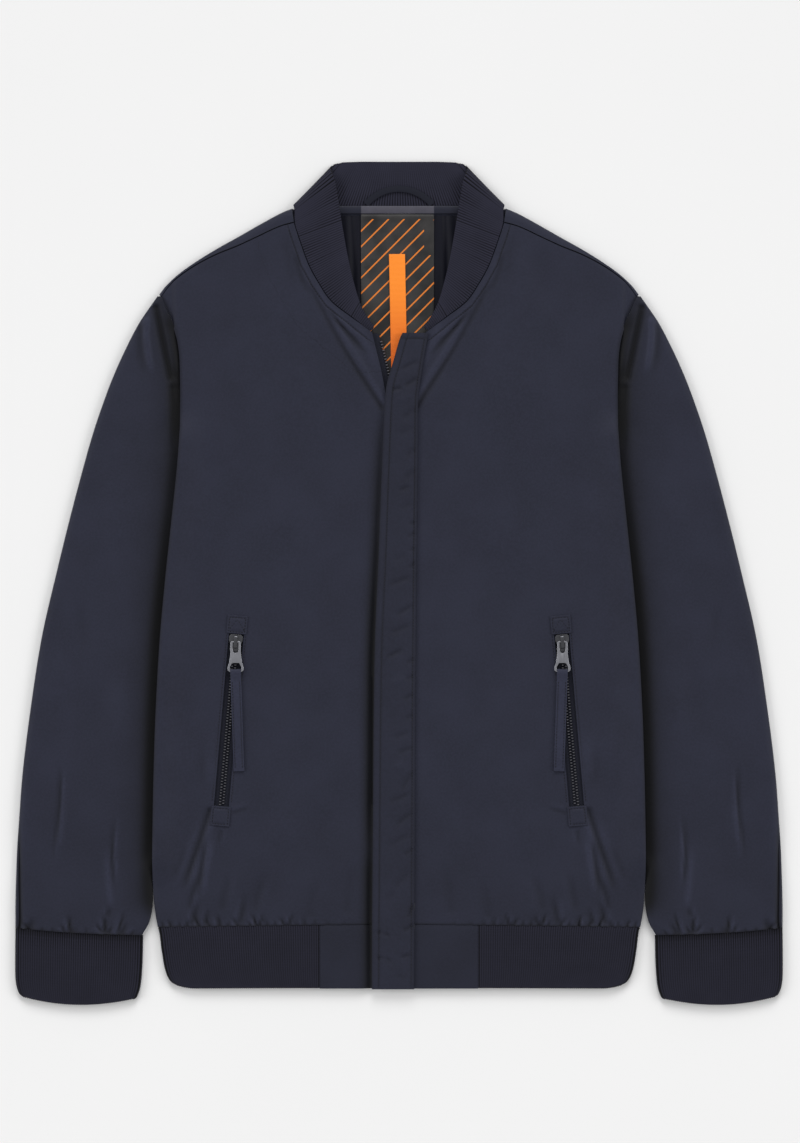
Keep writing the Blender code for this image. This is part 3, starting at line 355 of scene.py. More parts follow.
SLEEVE_CREASES = (
    Crease(226.4, 241.0, 226.6, 214.0, 220.6, 184.0, 2.6, 1.5, 0.0, 0.1, 0.4),
    Crease(231.4, 236.0, 233.0, 212.0, 228.0, 180.0, 3.6, -1.2, 0.0, 0.15, 0.5),
    Crease(219.8, 252.5, 212.0, 214.0, 204.6, 178.0, 3.4, -4.4, 0.0, 0.06, 0.1),
    Crease(204.8, 182.0, 203.4, 150.0, 202.6, 118.0, 3.6, -3.6, 0.0, 0.1, 0.5),
    Crease(210.0, 232.0, 206.0, 214.0, 201.6, 186.0, 2.4, 0.7, 0.0, 0.2, 0.3),
    Crease(305.0, -160.0, 306.0, -205.0, 312.6, -252.0, 1.9, -1.1, 0.6, 0.3, 0.4),
    Crease(302.0, -196.0, 304.0, -220.0, 309.0, -248.0, 3.8, 0.6, 0.0, 0.4, 0.4),
    Crease(255.0, -205.0, 258.0, -240.0, 256.0, -276.0, 1.8, -0.9, 0.7, 0.4, 0.3),
    Crease(262.4, -232.0, 262.0, -262.0, 258.0, -296.0, 2.6, 0.7, 0.0, 0.4, 0.2),
    Crease(286.4, -10.0, 285.4, -36.0, 280.0, -66.0, 6.0, -1.0, 0.0, 0.5, 0.5),
    Crease(262.0, -60.0, 270.0, -100.0, 274.0, -150.0, 9.0, -0.6, 0.0, 0.5, 0.5),
    Crease(300.0, -40.0, 308.0, -80.0, 310.0, -128.0, 10.0, 0.8, 0.0, 0.5, 0.5),
    Crease(256.0, 110.0, 252.0, 60.0, 250.0, 10.0, 12.0, 0.7, 0.0, 0.5, 0.5),
    Crease(240.0, 160.0, 238.0, 120.0, 232.0, 76.0, 8.0, -0.6, 0.0, 0.5, 0.5),
    Crease(244.0, -60.0, 250.0, -110.0, 246.0, -170.0, 9.0, 0.7, 0.0, 0.5, 0.5),
    Crease(336.6, -150.0, 338.6, -200.0, 337.0, -260.0, 4.0, 0.5, 0.0, 0.5, 0.4),
    Crease(342.2, -206.0, 341.6, -260.0, 340.8, -309.0, 1.6, -3.0, 0.0, 0.35, 0.0),
    Crease(284.0, -190.0, 288.0, -230.0, 286.0, -280.0, 9.0, -0.5, 0.0, 0.5, 0.5),
)
CUFF_GATHERS = (
    Gather(342.4, -312.0, 341.2, -296.0, 1.8, -2.0),
    Gather(334.0, -312.4, 338.4, -302.6, 1.8, -2.2),
    Gather(332.0, -311.0, 329.6, -299.0, 3.0, -1.6),
    Gather(321.0, -313.4, 322.0, -308.0, 1.8, -0.8),
    Gather(312.0, -313.6, 311.0, -309.0, 1.6, -0.7),
    Gather(300.8, -313.6, 304.4, -306.0, 1.6, -1.4),
    Gather(296.0, -313.6, 297.4, -296.0, 1.9, -2.0),
    Gather(293.0, -313.4, 289.8, -308.0, 1.4, -0.9),
    Gather(282.0, -313.4, 281.0, -309.0, 1.6, -0.7),
    Gather(268.0, -313.4, 272.4, -305.4, 1.6, -1.5),
    Gather(264.2, -313.6, 265.4, -294.6, 1.9, -2.0),
    Gather(262.0, -298.0, 260.0, -290.0, 2.0, -1.0),
    Gather(260.6, -313.8, 257.6, -307.6, 1.4, -1.2),
    Gather(252.4, -314.8, 246.6, -292.0, 1.8, -1.6),
    Gather(248.8, -315.2, 243.6, -303.0, 1.6, -1.2),
    Gather(241.6, -315.8, 234.8, -310.6, 1.4, -1.0),
)
# Puckers across the storm flap: left end, right end, breadth, depth
Pucker = namedtuple("Pucker", "ax ay bx by breadth depth")
FLAP_PUCKERS = (
    Pucker(-1.0, 191.0, 20.0, 201.0, 2.2, -0.8),
    Pucker(-7.4, 173.6, 3.6, 175.6, 1.8, -1.1),
    Pucker(3.6, 175.6, 18.0, 185.6, 2.2, -1.0),
    Pucker(-4.0, 162.0, 14.0, 171.0, 3.4, 0.5),
    Pucker(2.0, 146.0, 16.0, 158.0, 2.8, -0.7),
    Pucker(-2.0, 132.0, 15.4, 141.0, 3.0, -0.5),
    Pucker(6.0, 112.0, 15.8, 123.0, 2.2, -0.6),
    Pucker(-1.4, 82.6, 11.0, 87.4, 1.8, -0.9),
    Pucker(3.6, 90.6, 15.0, 104.0, 2.6, -0.7),
    Pucker(0.0, 66.0, 14.6, 74.0, 2.4, -0.4),
    Pucker(8.6, 52.0, 15.2, 55.6, 1.6, -0.8),
    Pucker(8.0, 40.0, 15.0, 46.4, 1.7, -0.8),
    Pucker(9.0, 28.0, 15.0, 32.6, 1.5, -0.7),
    Pucker(-6.0, 20.0, 8.0, 26.0, 3.2, -0.4),
    Pucker(8.4, 12.0, 14.8, 19.6, 1.7, -0.8),
    Pucker(-11.0, -2.6, 12.8, 6.6, 2.4, -0.8),
    Pucker(-4.0, -29.8, 14.6, -18.6, 2.3, -0.9),
    Pucker(-10.8, -46.0, 12.8, -37.0, 2.4, -0.8),
    Pucker(-12.6, -67.6, 5.6, -58.4, 1.9, -1.0),
    Pucker(6.4, -73.4, 14.2, -66.8, 1.6, -0.9),
    Pucker(5.6, -88.0, 14.2, -81.6, 1.8, -0.8),
    Pucker(-8.0, -92.0, 6.0, -84.0, 3.4, 0.5),
    Pucker(3.0, -105.8, 13.8, -99.0, 2.0, -0.8),
    Pucker(5.0, -123.6, 13.6, -117.6, 1.8, -0.7),
    Pucker(-7.0, -140.0, 11.0, -133.4, 2.4, -0.6),
    Pucker(-3.0, -153.8, 13.6, -147.0, 2.2, -0.7),
    Pucker(-6.0, -168.0, 6.0, -160.0, 3.2, 0.5),
    Pucker(0.6, -189.4, 13.2, -167.0, 2.4, -0.8),
    Pucker(-11.0, -198.0, 12.0, -188.6, 2.4, -0.7),
    Pucker(-4.0, -219.4, 13.2, -204.4, 2.2, -0.9),
    Pucker(-12.0, -238.0, 12.6, -224.0, 2.8, -0.6),
    Pucker(4.0, -246.0, 13.2, -237.4, 1.8, -0.8),
    Pucker(-7.0, -277.0, 12.4, -256.6, 2.8, -0.6),
    Pucker(-15.0, -286.0, -2.0, -277.0, 2.4, -0.5),
    Pucker(6.8, -304.6, 13.0, -286.0, 1.6, -1.1),
    Pucker(2.6, -314.0, 14.0, -306.4, 1.8, -1.1),
    Pucker(-21.8, -315.0, -13.8, -313.6, 1.4, -0.9),
    Pucker(-13.8, -313.6, -7.4, -318.8, 1.4, -0.9),
    Pucker(-21.8, -337.6, -12.4, -336.6, 1.4, -0.9),
    Pucker(-12.4, -336.6, -5.8, -341.6, 1.4, -0.8),
    Pucker(0.0, -337.4, 11.6, -333.6, 1.6, -0.9),
    Pucker(-4.0, -352.0, 6.0, -356.0, 2.2, -0.4),
)


def smooth(share):
    """A share held to 0 and 1, with a soft start and end."""
    share = min(1.0, max(0.0, share))
    return share * share * (3.0 - 2.0 * share)


def ramp(value, start, end):
    """0 at start, 1 at end, smooth between."""
    return smooth((value - start) / (end - start))


def curve_through(keys, values, at, corner=None):
    """A smooth curve through values at rising keys, with one corner allowed."""
    low = 0
    while low < len(keys) - 2 and at > keys[low + 1]:
        low += 1
    span = keys[low + 1] - keys[low]
    share = min(1.0, max(0.0, (at - keys[low]) / span))
    chord = (values[low + 1] - values[low]) / span

    def slope(index):
        if index in (0, len(keys) - 1) or index == corner:
            return chord
        return (values[index + 1] - values[index - 1]) / (keys[index + 1] - keys[index - 1])

    start, end = slope(low) * span, slope(low + 1) * span
    square, cube = share * share, share ** 3
    return (
        values[low] * (2 * cube - 3 * square + 1)
        + start * (cube - 2 * square + share)
        + values[low + 1] * (3 * square - 2 * cube)
        + end * (cube - square)
    )


def table_columns(table, key):
    """A table's keys and columns, sorted by one of them."""
    rows = sorted(table, key=lambda row: getattr(row, key))
    return {name: [getattr(row, name) for row in rows] for name in rows[0]._fields if name != "state"}


SIDE = table_columns(BODY_ROWS, "side_y")
FOLD = table_columns(SHOULDER, "x")
FLAP = table_columns(FLAP_ROWS, "y")
TAPE = table_columns(TAPE_ROWS, "y")


def side_x(y):
    """Half width of the body at a height."""
    return curve_through(SIDE["side_y"], SIDE["side_x"], y)


def closing(distance):
    """Half the space between two layers near their fold, as a share: 0 at the fold, 1 inside."""
    share = min(1.0, max(0.0, distance / FOLD_RADIUS))
    return max(EDGE_OPENING, math.sqrt(1.0 - (1.0 - share) ** 2))


def shoulder_distance(x, y):
    """How far a point of the front lies below the shoulder's fold."""
    if x < NECK_CORNER_X - 4.0 or y < 200.0:
        return FOLD_RADIUS * 2
    return (curve_through(FOLD["x"], FOLD["fold_y"], x) - y) * 0.84


def body_lift(x, y):
    """Height of the back's underside where it lies on the sleeve."""
    along = ramp(y, -278.0, -245.0) * (1.0 - ramp(y, 128.0, 158.0))
    across = 1.0 - smooth((side_x(y) - x) / LIFT_REACH)
    return SLEEVE_LIFT * along * across


def body_opening(x, y):
    """Share of the full space between front and back at a point of the body."""
    side = closing(side_x(y) - CLOTH / 2 - x)
    beside_sleeve = 1.0 - ramp(y, SIDE_END_Y, UNDERARM_Y)
    return min(1.0 - beside_sleeve * (1.0 - side), closing(shoulder_distance(x, y)))


def neck_rise(x, y):
    """How much higher a front lies where the neck's lining and label are under it."""
    share = min(1.0, max(0.0, (y - RISE_START_Y) / (RISE_END_Y - RISE_START_Y)))
    return NECK_RISE * share * (1.0 - ramp(x, 60.0, 150.0))


def front_level(x, y):
    """Middle of the front's wall, before its folds."""
    half = SEPARATION / 2
    middle = BACK_LEVEL + half + body_lift(abs(x), y)
    return middle + (half + neck_rise(abs(x), y)) * body_opening(abs(x), y)


def back_level(x, y):
    """Middle of the back's wall."""
    half = SEPARATION / 2
    return BACK_LEVEL + half + body_lift(abs(x), y) - half * body_opening(abs(x), y)


def bend_points(crease, steps=8):
    """Points of the curve through a crease's three points."""
    points = []
    for step in range(steps + 1):
        t = step / steps
        a, b, c = (1 - t) * (1 - 2 * t), 4 * t * (1 - t), t * (2 * t - 1)
        points.append(
            (a * crease.ax + b * crease.bx + c * crease.cx, a * crease.ay + b * crease.by + c * crease.cy)
        )
    return points


class Relief:
    """The folds of one piece: how far the cloth stands off its plain level at a point."""

    def __init__(self, creases=(), gathers=(), puckers=()):
        self.lines = []
        for row in creases:
            self.add(bend_points(row), row.breadth, row.depth, row.lip, row.fade_a, row.fade_b)
        for row in gathers:
            line = [(row.foot_x, row.foot_y), (row.top_x, row.top_y)]
            self.add(line, row.breadth, row.depth, -0.45 * row.depth, 0.0, 0.8)
        for row in puckers:
            self.add([(row.ax, row.ay), (row.bx, row.by)], row.breadth, row.depth, 0.0, 0.35, 0.35)

    def add(self, points, breadth, depth, lip, fade_a, fade_b):
        reach = breadth * (4.0 if lip else 2.6)
        xs = [point[0] for point in points]
        ys = [point[1] for point in points]
        box = (min(xs) - reach, max(xs) + reach, min(ys) - reach, max(ys) + reach)
        lengths = [0.0]
        for (ax, ay), (bx, by) in zip(points, points[1:]):
            lengths.append(lengths[-1] + math.hypot(bx - ax, by - ay))
        self.lines.append((box, points, lengths, breadth, depth, lip, fade_a, fade_b))

    def at(self, x, y):
        return self.read(x, y)[0]

    def read(self, x, y):
        """Height at a point, and the painted shade of the narrow folds there, with painted highlight on their
        crests and lips.
        """
        height = tone = 0.0
        for box, points, lengths, breadth, depth, lip, fade_a, fade_b in self.lines:
            if x < box[0] or x > box[1] or y < box[2] or y > box[3]:
                continue
            best = None
            for index in range(len(points) - 1):
                ax, ay = points[index]
                bx, by = points[index + 1]
                span = lengths[index + 1] - lengths[index]
                ux, uy = (bx - ax) / span, (by - ay) / span
                along = min(span, max(0.0, (x - ax) * ux + (y - ay) * uy))
                dx, dy = x - ax - ux * along, y - ay - uy * along
                far = dx * dx + dy * dy
                if best is None or far < best[0]:
                    best = (far, dx * uy - dy * ux, (lengths[index] + along) / lengths[-1])
            far, across, share = best
            body = math.exp(-far / (breadth * breadth)) * depth
            if lip:
                off = math.sqrt(far) if across > 0 else -math.sqrt(far)
                body += math.exp(-((off - 1.7 * breadth) / breadth) ** 2) * lip
            if fade_a:
                body *= smooth(share / fade_a)
            if fade_b:
                body *= smooth((1.0 - share) / fade_b)
            height += body
            # painted shade in narrow troughs, painted highlight on narrow crests and lips
            tone += body * min(1.0, (PAINTED_SHADE_BREADTH / breadth) ** 1.5)
        return height, tone


FRONT_RELIEF = Relief(FRONT_CREASES, HEM_GATHERS)
SLEEVE_RELIEF = Relief(SLEEVE_CREASES, CUFF_GATHERS)
FLAP_RELIEF = Relief(puckers=FLAP_PUCKERS)
# How deep the right front dips along the flap's free edge
DIP_Y = (-365.0, -330.0, -300.0, -262.0, -240.0, -200.0, -150.0, -90.0, -40.0, 10.0, 60.0, 120.0, 165.0)
DIP_DEPTH = (2.6, 3.0, 3.2, 3.2, 2.2, 3.4, 3.2, 3.4, 3.2, 2.4, 1.8, 1.0, 0.0)


def flap_dip(x, y):
    """The right front falls away beside the storm flap's free edge; x is negative there."""
    if x > 0 or x < -60 or y > 165:
        return 0.0
    edge = curve_through(FLAP["y"], FLAP["free_x"], y)
    depth = curve_through(DIP_Y, DIP_DEPTH, y)
    off = (edge - 1.0) - x
    spread = 6.2 if off > 0 else 2.2
    return -depth * math.exp(-((off / spread) ** 2))


def shoulder_turn(x, y):
    """The front turns down towards the sleeve at the shoulder's point."""
    along = ramp(y, 208.0, 226.0) * (1.0 - 0.4 * ramp(y, 262.0, 276.0))
    return -2.4 * along * ramp(x, 199.6, 205.0)


def front_height(x, y):
    """Middle of the front's wall with its folds."""
    side = 1 if x >= 0 else -1
    bare = abs(x)
    height = front_level(bare, y) + FRONT_RELIEF.at(bare, y) + shoulder_turn(bare, y)
    if side < 0:
        height += flap_dip(x, y)
    return max(height, back_level(bare, y) + CLOTH + 0.05) if bare < side_x(y) - 8.0 else height


def spaced(start, end, step):
    """Even places from start to end, no further apart than step."""
    count = max(1, math.ceil(abs(end - start) / step - 1e-6))
    return [start + (end - start) * index / count for index in range(count + 1)]


def row_places(table, step):
    """Places along a table of body or sleeve rows, as row numbers, about step apart."""
    places = []
    for index in range(len(table) - 1):
        low, high = table[index], table[index + 1]
        length = max(math.hypot(high[0] - low[0], high[1] - low[1]), abs(high[3] - low[3]))
        places += [index + share for share in spaced(0.0, 1.0, step / length)[:-1]]
    return places + [len(table) - 1.0]


def row_at(table, place, corner=None):
    """A table's row at a place between its rows."""
    keys = list(range(len(table)))
    fields = [name for name in table[0]._fields if name != "state"]
    return {
        name: curve_through(keys, [getattr(row, name) for row in table], place, corner) for name in fields
    }


def seam_point(share, drop_share):
    """A point on the part of the back that folds over the shoulder, at a share of its depth."""
    x = NECK_CORNER_X + (BODY_ROWS[-1].side_x - NECK_CORNER_X) * share
    drop = curve_through(FOLD["x"], FOLD["seam_drop"], x) * drop_share
    y = curve_through(FOLD["x"], FOLD["fold_y"], x) - drop
    lean = 0.15 * (1.0 - ramp(share, 0.0, 0.2)) + 0.55 * ramp(share, 0.9, 1.0)
    return x - drop * lean, y


def edge_shares(step, width):
    """Shares across a panel, closer together near its far edge."""
    shares = spaced(0.0, 1.0 - 9.0 / width, step / width)
    return shares + [1.0 - far / width for far in PANEL_EDGE_STEPS]


def front_points(side, step):
    """Rows of one front from hem to shoulder seam, each from its free edge to its side edge."""
    rows = []
    top = len(BODY_ROWS) - 1
    end = BODY_ROWS[-1]
    for place in row_places(BODY_ROWS, step):
        row = row_at(BODY_ROWS, place, NECK_ROW)
        bend = (place / top) ** 3
        edge_x = row["edge_x"]
        if side > 0:
            edge_x -= 4.0 * (1.0 - ramp(place, 10.0, 11.0))
        outer = row["side_x"] - (CLOTH / 2) * (1.0 - ramp(row["side_y"], SIDE_END_Y, UNDERARM_Y))
        line = []
        for share in edge_shares(step, FRONT_WIDTH):
            x = edge_x + (outer - edge_x) * share
            y = row["edge_y"] + (row["side_y"] - row["edge_y"]) * share
            chord_x = end.edge_x + (end.side_x - end.edge_x) * share
            chord_y = end.edge_y + (end.side_y - end.edge_y) * share
            seam_x, seam_y = seam_point(share, 1.0)
            x += (seam_x - chord_x) * bend
            y += (seam_y - SHOULDER_GAP - chord_y) * bend
            # Painted shade for the fold attribute: in narrow creases (painted highlight on crests), painted
            # shadow beside the flap's free edge, darker towards the hem, along the hem seam and at the side
            # edge over the sleeve
            fold = 0.8 * FRONT_RELIEF.read(x, y)[1] + (0.85 * flap_dip(side * x, y) if side < 0 else 0.0)
            fold -= LOW_SHADE * ramp(-y, 150.0, 300.0) + SEAM_SHADE * math.exp(-place / 0.05)
            far = (1.0 - share) * (outer - edge_x)
            fold -= 0.7 * math.exp(-((far / 1.8) ** 2)) * ramp(y, -250.0, -210.0)
            line.append((side * x, y, front_height(side * x, y), fold))
        rows.append(line)
    return rows


def back_top(share):
    """The back's upper edge from the middle of the neck to the armhole."""
    if share < NECK_SHARE:
        part = share / NECK_SHARE
        end_y = BODY_ROWS[-1].back_y
        return NECK_CORNER_X * part, end_y + (NECK_CORNER_Y - end_y) * part ** 2
    return seam_point((share - NECK_SHARE) / (1.0 - NECK_SHARE), 0.0)


def back_columns(step):
    """Columns of the back, as shares of its half width."""
    half = spaced(0.0, NECK_SHARE, step / BACK_HALF_WIDTH)[:-1]
    half += [NECK_SHARE + (1.0 - NECK_SHARE) * share for share in edge_shares(step, SHOULDER_WIDTH)]
    return [-share for share in reversed(half[1:])] + half


def back_points(step):
    """Rows of the back from hem to its upper edge, each from side to side."""
    rows = []
    top = len(BODY_ROWS) - 1
    end = BODY_ROWS[-1]
    for place in row_places(BODY_ROWS, step):
        row = row_at(BODY_ROWS, place, NECK_ROW)
        bend = (place / top) ** 3
        outer = row["side_x"] - (CLOTH / 2) * (1.0 - ramp(row["side_y"], SIDE_END_Y, UNDERARM_Y))
        line = []
        for column in back_columns(step):
            share = abs(column)
            top_x, top_y = back_top(share)
            x = outer * share + (top_x - end.side_x * share) * bend
            chord_y = end.back_y + (end.side_y - end.back_y) * share
            y = row["back_y"] + (row["side_y"] - row["back_y"]) * share + (top_y - chord_y) * bend
            line.append((math.copysign(x, column), y, back_level(x, y)))
        rows.append(line)
    return rows


def shoulder_folds(step):
    """The two parts of the back that fold over the shoulders to their seams on the front."""
    columns = back_columns(step)
    blocks = []
    for side in (-1, 1):
        seam = [index for index, column in enumerate(columns) if column * side >= NECK_SHARE - 1e-6]
        block = []
        for part in (0.12, 0.25, 0.4, 0.55, 0.7, 0.85, 1.0):
            line = []
            for index in seam:
                share = (abs(columns[index]) - NECK_SHARE) / (1.0 - NECK_SHARE)
                x, y = seam_point(share, part)
                line.append((side * x, y, front_level(x, y) + shoulder_turn(x, y) * 0.5))
            block.append(line)
        blocks.append((block, seam))
    return blocks


OUTLINE = [(row.outer_x, row.outer_y) for row in SLEEVE_ROWS] + [(215.1, 259.2), (208.8, 267.3)]


def outline_distance(x, y):
    """How far a point of the sleeve lies inside its outer fold."""
    nearest = (FOLD_RADIUS * 3) ** 2
    for (ax, ay), (bx, by) in zip(OUTLINE, OUTLINE[1:]):
        if min(ay, by) - 20.0 > y or max(ay, by) + 20.0 < y:
            continue
        length = math.hypot(bx - ax, by - ay)
        along = min(length, max(0.0, ((x - ax) * (bx - ax) + (y - ay) * (by - ay)) / length))
        dx, dy = x - ax - (bx - ax) * along / length, y - ay - (by - ay) * along / length
        nearest = min(nearest, dx * dx + dy * dy)
    return math.sqrt(nearest)


def painted_crevice_shade(far, y):
    """How much painted shade darkens the sleeve where it runs in under the body."""
    near = ramp(y, -306.0, -280.0) * (1.0 - 0.75 * ramp(y, 225.0, 250.0))
    deep = 1.0 - 0.55 * ramp(y, -20.0, 90.0) + 0.3 * ramp(y, 120.0, 160.0)
    far = max(0.0, far)
    return near * (3.3 * deep * math.exp(-((far / 7.2) ** 2)) + 0.7 * math.exp(-((far / 21.0) ** 2)))


def sleeve_points(side, step):
    """Rows of one sleeve from cuff to shoulder, each from the front's inner edge round the outer
    fold to the back's inner edge."""
    rows = []
    tuck_at = next(index for index, row in enumerate(SLEEVE_ROWS) if row.state == "tuck")
    join_at = next(index for index, row in enumerate(SLEEVE_ROWS) if row.state == "join")
    for place in row_places(SLEEVE_ROWS, step):
        row = row_at(SLEEVE_ROWS, place)
        fold = 1.0 - ramp(place, tuck_at - 1, tuck_at)
        join = ramp(place, join_at - 1, join_at)
        outer_x = row["outer_x"] - CLOTH / 2
        inner_x = row["inner_x"] + 1.5 * GAP + CLOTH / 2 * fold
        width = outer_x - inner_x
        near = SLEEVE_EDGE_STEPS
        scale = min(1.0, 0.45 * width / near[-1])
        even = 1.0 - near[-1] * scale / width
        shares = spaced(0.0, even, even / SLEEVE_COLUMNS)
        shares += [1.0 - far * scale / width for far in reversed(near[:-1])]
        line = []
        for layer, shared in ((1, shares + [1.0]), (-1, list(reversed(shares)))):
            for share in shared:
                x = inner_x + width * share
                y = row["inner_y"] + (row["outer_y"] - row["inner_y"]) * share
                inside = x - inner_x
                opening = closing(outline_distance(x + CLOTH / 2, y))
                if share == 1.0:
                    opening = 0.0
                thin = smooth(inside / THIN_REACH)
                tucked = TUCKED_SEPARATION + (SEPARATION - TUCKED_SEPARATION) * thin
                held = max(fold, join)
                separation = tucked + (SEPARATION - tucked) * held
                if fold > 0.0:
                    opening = min(opening, closing(inside) * fold + opening * (1.0 - fold))
                z = BACK_LEVEL + separation / 2 * (1.0 + layer * opening)
                y += cuff_seam_y(1.0 - share) * max(0.0, 1.0 - place)
                if layer > 0:
                    ease = min(1.0, (1.0 - share) * width / 2.0)
                    folds, tone = (value * ease for value in SLEEVE_RELIEF.read(x, y))
                    under = ramp(y, 96.0, 118.0) * (1.0 - ramp(y, 214.0, 240.0))
                    under *= math.exp(-((inside / 3.2) ** 2))
                    z = max(z + folds - ARMHOLE_DIP * under, BACK_LEVEL + CLOTH + 0.05)
                    x -= ARMHOLE_TUCK * under
                    # Painted shade for the fold attribute: in narrow creases (painted highlight on crests),
                    # where the sleeve runs under the body, darker towards the cuff, and along the cuff seam
                    tone = 0.8 * tone - painted_crevice_shade(x - side_x(y), y) - LOW_SHADE * ramp(-y, 150.0, 300.0)
                    tone -= SEAM_SHADE * math.exp(-place / 0.07)
                else:
                    tone = 0.0
                line.append((side * x, y, z, tone))
        rows.append(line)
    return rows


def rib_wave(place, pitch, height):
    """Half height of a knitted rib at a place along the band."""
    return height * math.cos(2 * math.pi * place / pitch)


def cuff_seam_y(share):
    """The cuff's seam sags a little between its ends."""
    return -1.9 * 4 * share * (1.0 - share) * (1.0 - 0.4 * share)


def cuff_points(side, pitch, height):
    """Rows of one cuff from seam to edge, each a flattened ring of ribs."""
    rows = []
    columns = int(round(2 * CUFF_WIDTH / pitch)) * RIB_COLUMNS
    for place in spaced(0.0, len(CUFF_ROWS) - 1.0, 0.25):
        row = row_at(CUFF_ROWS, place)
        outer_x = row["outer_x"] - RIB / 2
        inner_x = row["inner_x"] + RIB / 2
        line = []
        for column in range(columns):
            turn = 2.0 * column / columns
            share = turn if turn <= 1.0 else 2.0 - turn
            layer = 1 if turn <= 1.0 else -1
            x = inner_x + (outer_x - inner_x) * share
            y = row["inner_y"] + (row["outer_y"] - row["inner_y"]) * share
            y -= row["bow"] * 4 * share * (1 - share)
            y += (cuff_seam_y(1.0 - share) + 0.25) * max(0.0, 1.0 - place)
            edge = min(share, 1.0 - share) * (outer_x - inner_x)
            opening = math.sqrt(1.0 - (1.0 - min(1.0, edge / FOLD_RADIUS)) ** 2)
            fade = smooth(place / 0.6) * 0.7 + 0.3
            ribs = rib_wave(column, RIB_COLUMNS, height * fade)
            z = RIB / 2 + CUFF_SEPARATION / 2 * (1.0 + layer * opening)
            if layer > 0:
                z += ribs * opening - 0.9 * math.exp(-place / 0.25) * opening
            else:
                z -= ribs * opening * 0.3
            # the fourth value is painted shade along the cuff's seam
            line.append((side * x, y, z, -SEAM_SHADE * math.exp(-place / 0.06)))
        rows.append(line)
    return rows


def hem_seam_y(x):
    """Where the hem band is sewn to the body."""
    return HEM_SEAM_Y - HEM_SLOPE * abs(x)


def hem_points(pitch, height):
    """Rows of the hem rib from seam to edge: right front, right side, back, left side, left front."""
    rows = []
    separation = SEPARATION + CLOTH - RIB
    front_count = int(round((HEM_HALF_WIDTH - RIB_START_X) / pitch)) * RIB_COLUMNS
    back_count = int(round(HEM_HALF_WIDTH / pitch)) * RIB_COLUMNS // 2
    for place in spaced(0.0, len(HEM_ROWS) - 1.0, 0.25):
        row = row_at(HEM_ROWS, place)
        outer = row["side_x"] - RIB / 2

        def point(x, layer, count):
            share = (x - RIB_START_X) / (outer - RIB_START_X)
            corner = max(0.0, (share - HEM_CORNER_SHARE) / (1.0 - HEM_CORNER_SHARE))
            plain = row["front_y"] + (row["side_y"] - row["front_y"]) * corner ** 2
            y = plain + (hem_seam_y(x) - GAP - plain) * max(0.0, 1.0 - place)
            opening = closing(outer - x) if outer - x > 1e-6 else 0.0
            z = RIB / 2 + separation / 2 * (1.0 + layer * opening)
            if layer > 0:
                ease = smooth((x - RIB_START_X) / 2.0)
                sink = 0.8 * math.exp(-place / 0.2) * opening
                z += rib_wave(count, RIB_COLUMNS, height) * opening * ease - sink
            # the fourth value is painted shade along the hem band's seam
            return x, y, z, -SEAM_SHADE * math.exp(-place / 0.06)

        front = [
            point(RIB_START_X + (outer - RIB_START_X) * i / front_count, 1, i) for i in range(front_count + 1)
        ]
        back = [point(outer * i / back_count, -1, i) for i in range(back_count - 1, 0, -1)]
        line = [(-x, y, z, tone) for x, y, z, tone in front + back]
        line.append(point(0.0, -1, 0))
        line += list(reversed(back)) + list(reversed(front))
        rows.append(line)
    return rows


def hem_tab_points(side):
    """Rows of the woven end of the hem band on one front."""
    start = TAB_RIGHT_START_X if side < 0 else TAB_LEFT_START_X
    rows = []
    for share_y in spaced(0.0, 1.0, 0.04):
        line = []
        for x in spaced(start, RIB_START_X - GAP, 1.6):
            top = hem_seam_y(x) - GAP
            y = top + (HEM_EDGE_Y - 0.4 - top) * share_y
            z = FRONT_LEVEL - 0.5 * math.exp(-share_y / 0.03) - 0.5 * math.exp((x - RIB_START_X) / 1.2)
            # the fourth value is painted shadow where the tab dips beside the flap's free edge
            line.append((side * x, y, z + flap_dip(side * x, y), 0.7 * flap_dip(side * x, y)))
        rows.append(line)
    return rows


def collar_points(pitch, height):
    """Rows of the collar from its right tip round the back to its left tip, seam to free edge."""
    half = []
    count = 0
    for index in range(len(COLLAR_ROWS) - 1):
        low, high = COLLAR_ROWS[index], COLLAR_ROWS[index + 1]
        length = math.hypot(high.seam_x - low.seam_x, high.seam_y - low.seam_y)
        inner = math.hypot(high.top_x - low.top_x, high.top_y - low.top_y)
        steps = max(1, int(round((length + inner) / 2 / pitch))) * RIB_COLUMNS
        for step in range(steps + (1 if index == len(COLLAR_ROWS) - 2 else 0)):
            row = row_at(COLLAR_ROWS, index + step / steps)
            turn = 0.5 - 0.5 * math.cos(math.pi * min(1.0, max(0.0, row["turn"])))
            line = []
            for share in spaced(0.0, 1.0, 0.0625):
                x = row["seam_x"] + (row["top_x"] - row["seam_x"]) * share
                y = row["seam_y"] + (row["top_y"] - row["seam_y"]) * share
                front_z = FRONT_LEVEL + neck_rise(row["seam_x"], row["seam_y"]) + 0.6 * share
                z = front_z + (COLLAR_BACK_LEVEL - front_z) * turn
                crown = 0.7 * math.sin(math.pi * share) * (1.0 - turn)
                line.append((x, y, z + crown + rib_wave(count, RIB_COLUMNS, height)))
            half.append(line)
            count += 1
    right = [[(-x, y, z) for x, y, z in line] for line in half]
    return [list(line) for line in zip(*(right + list(reversed(half[:-1]))))]


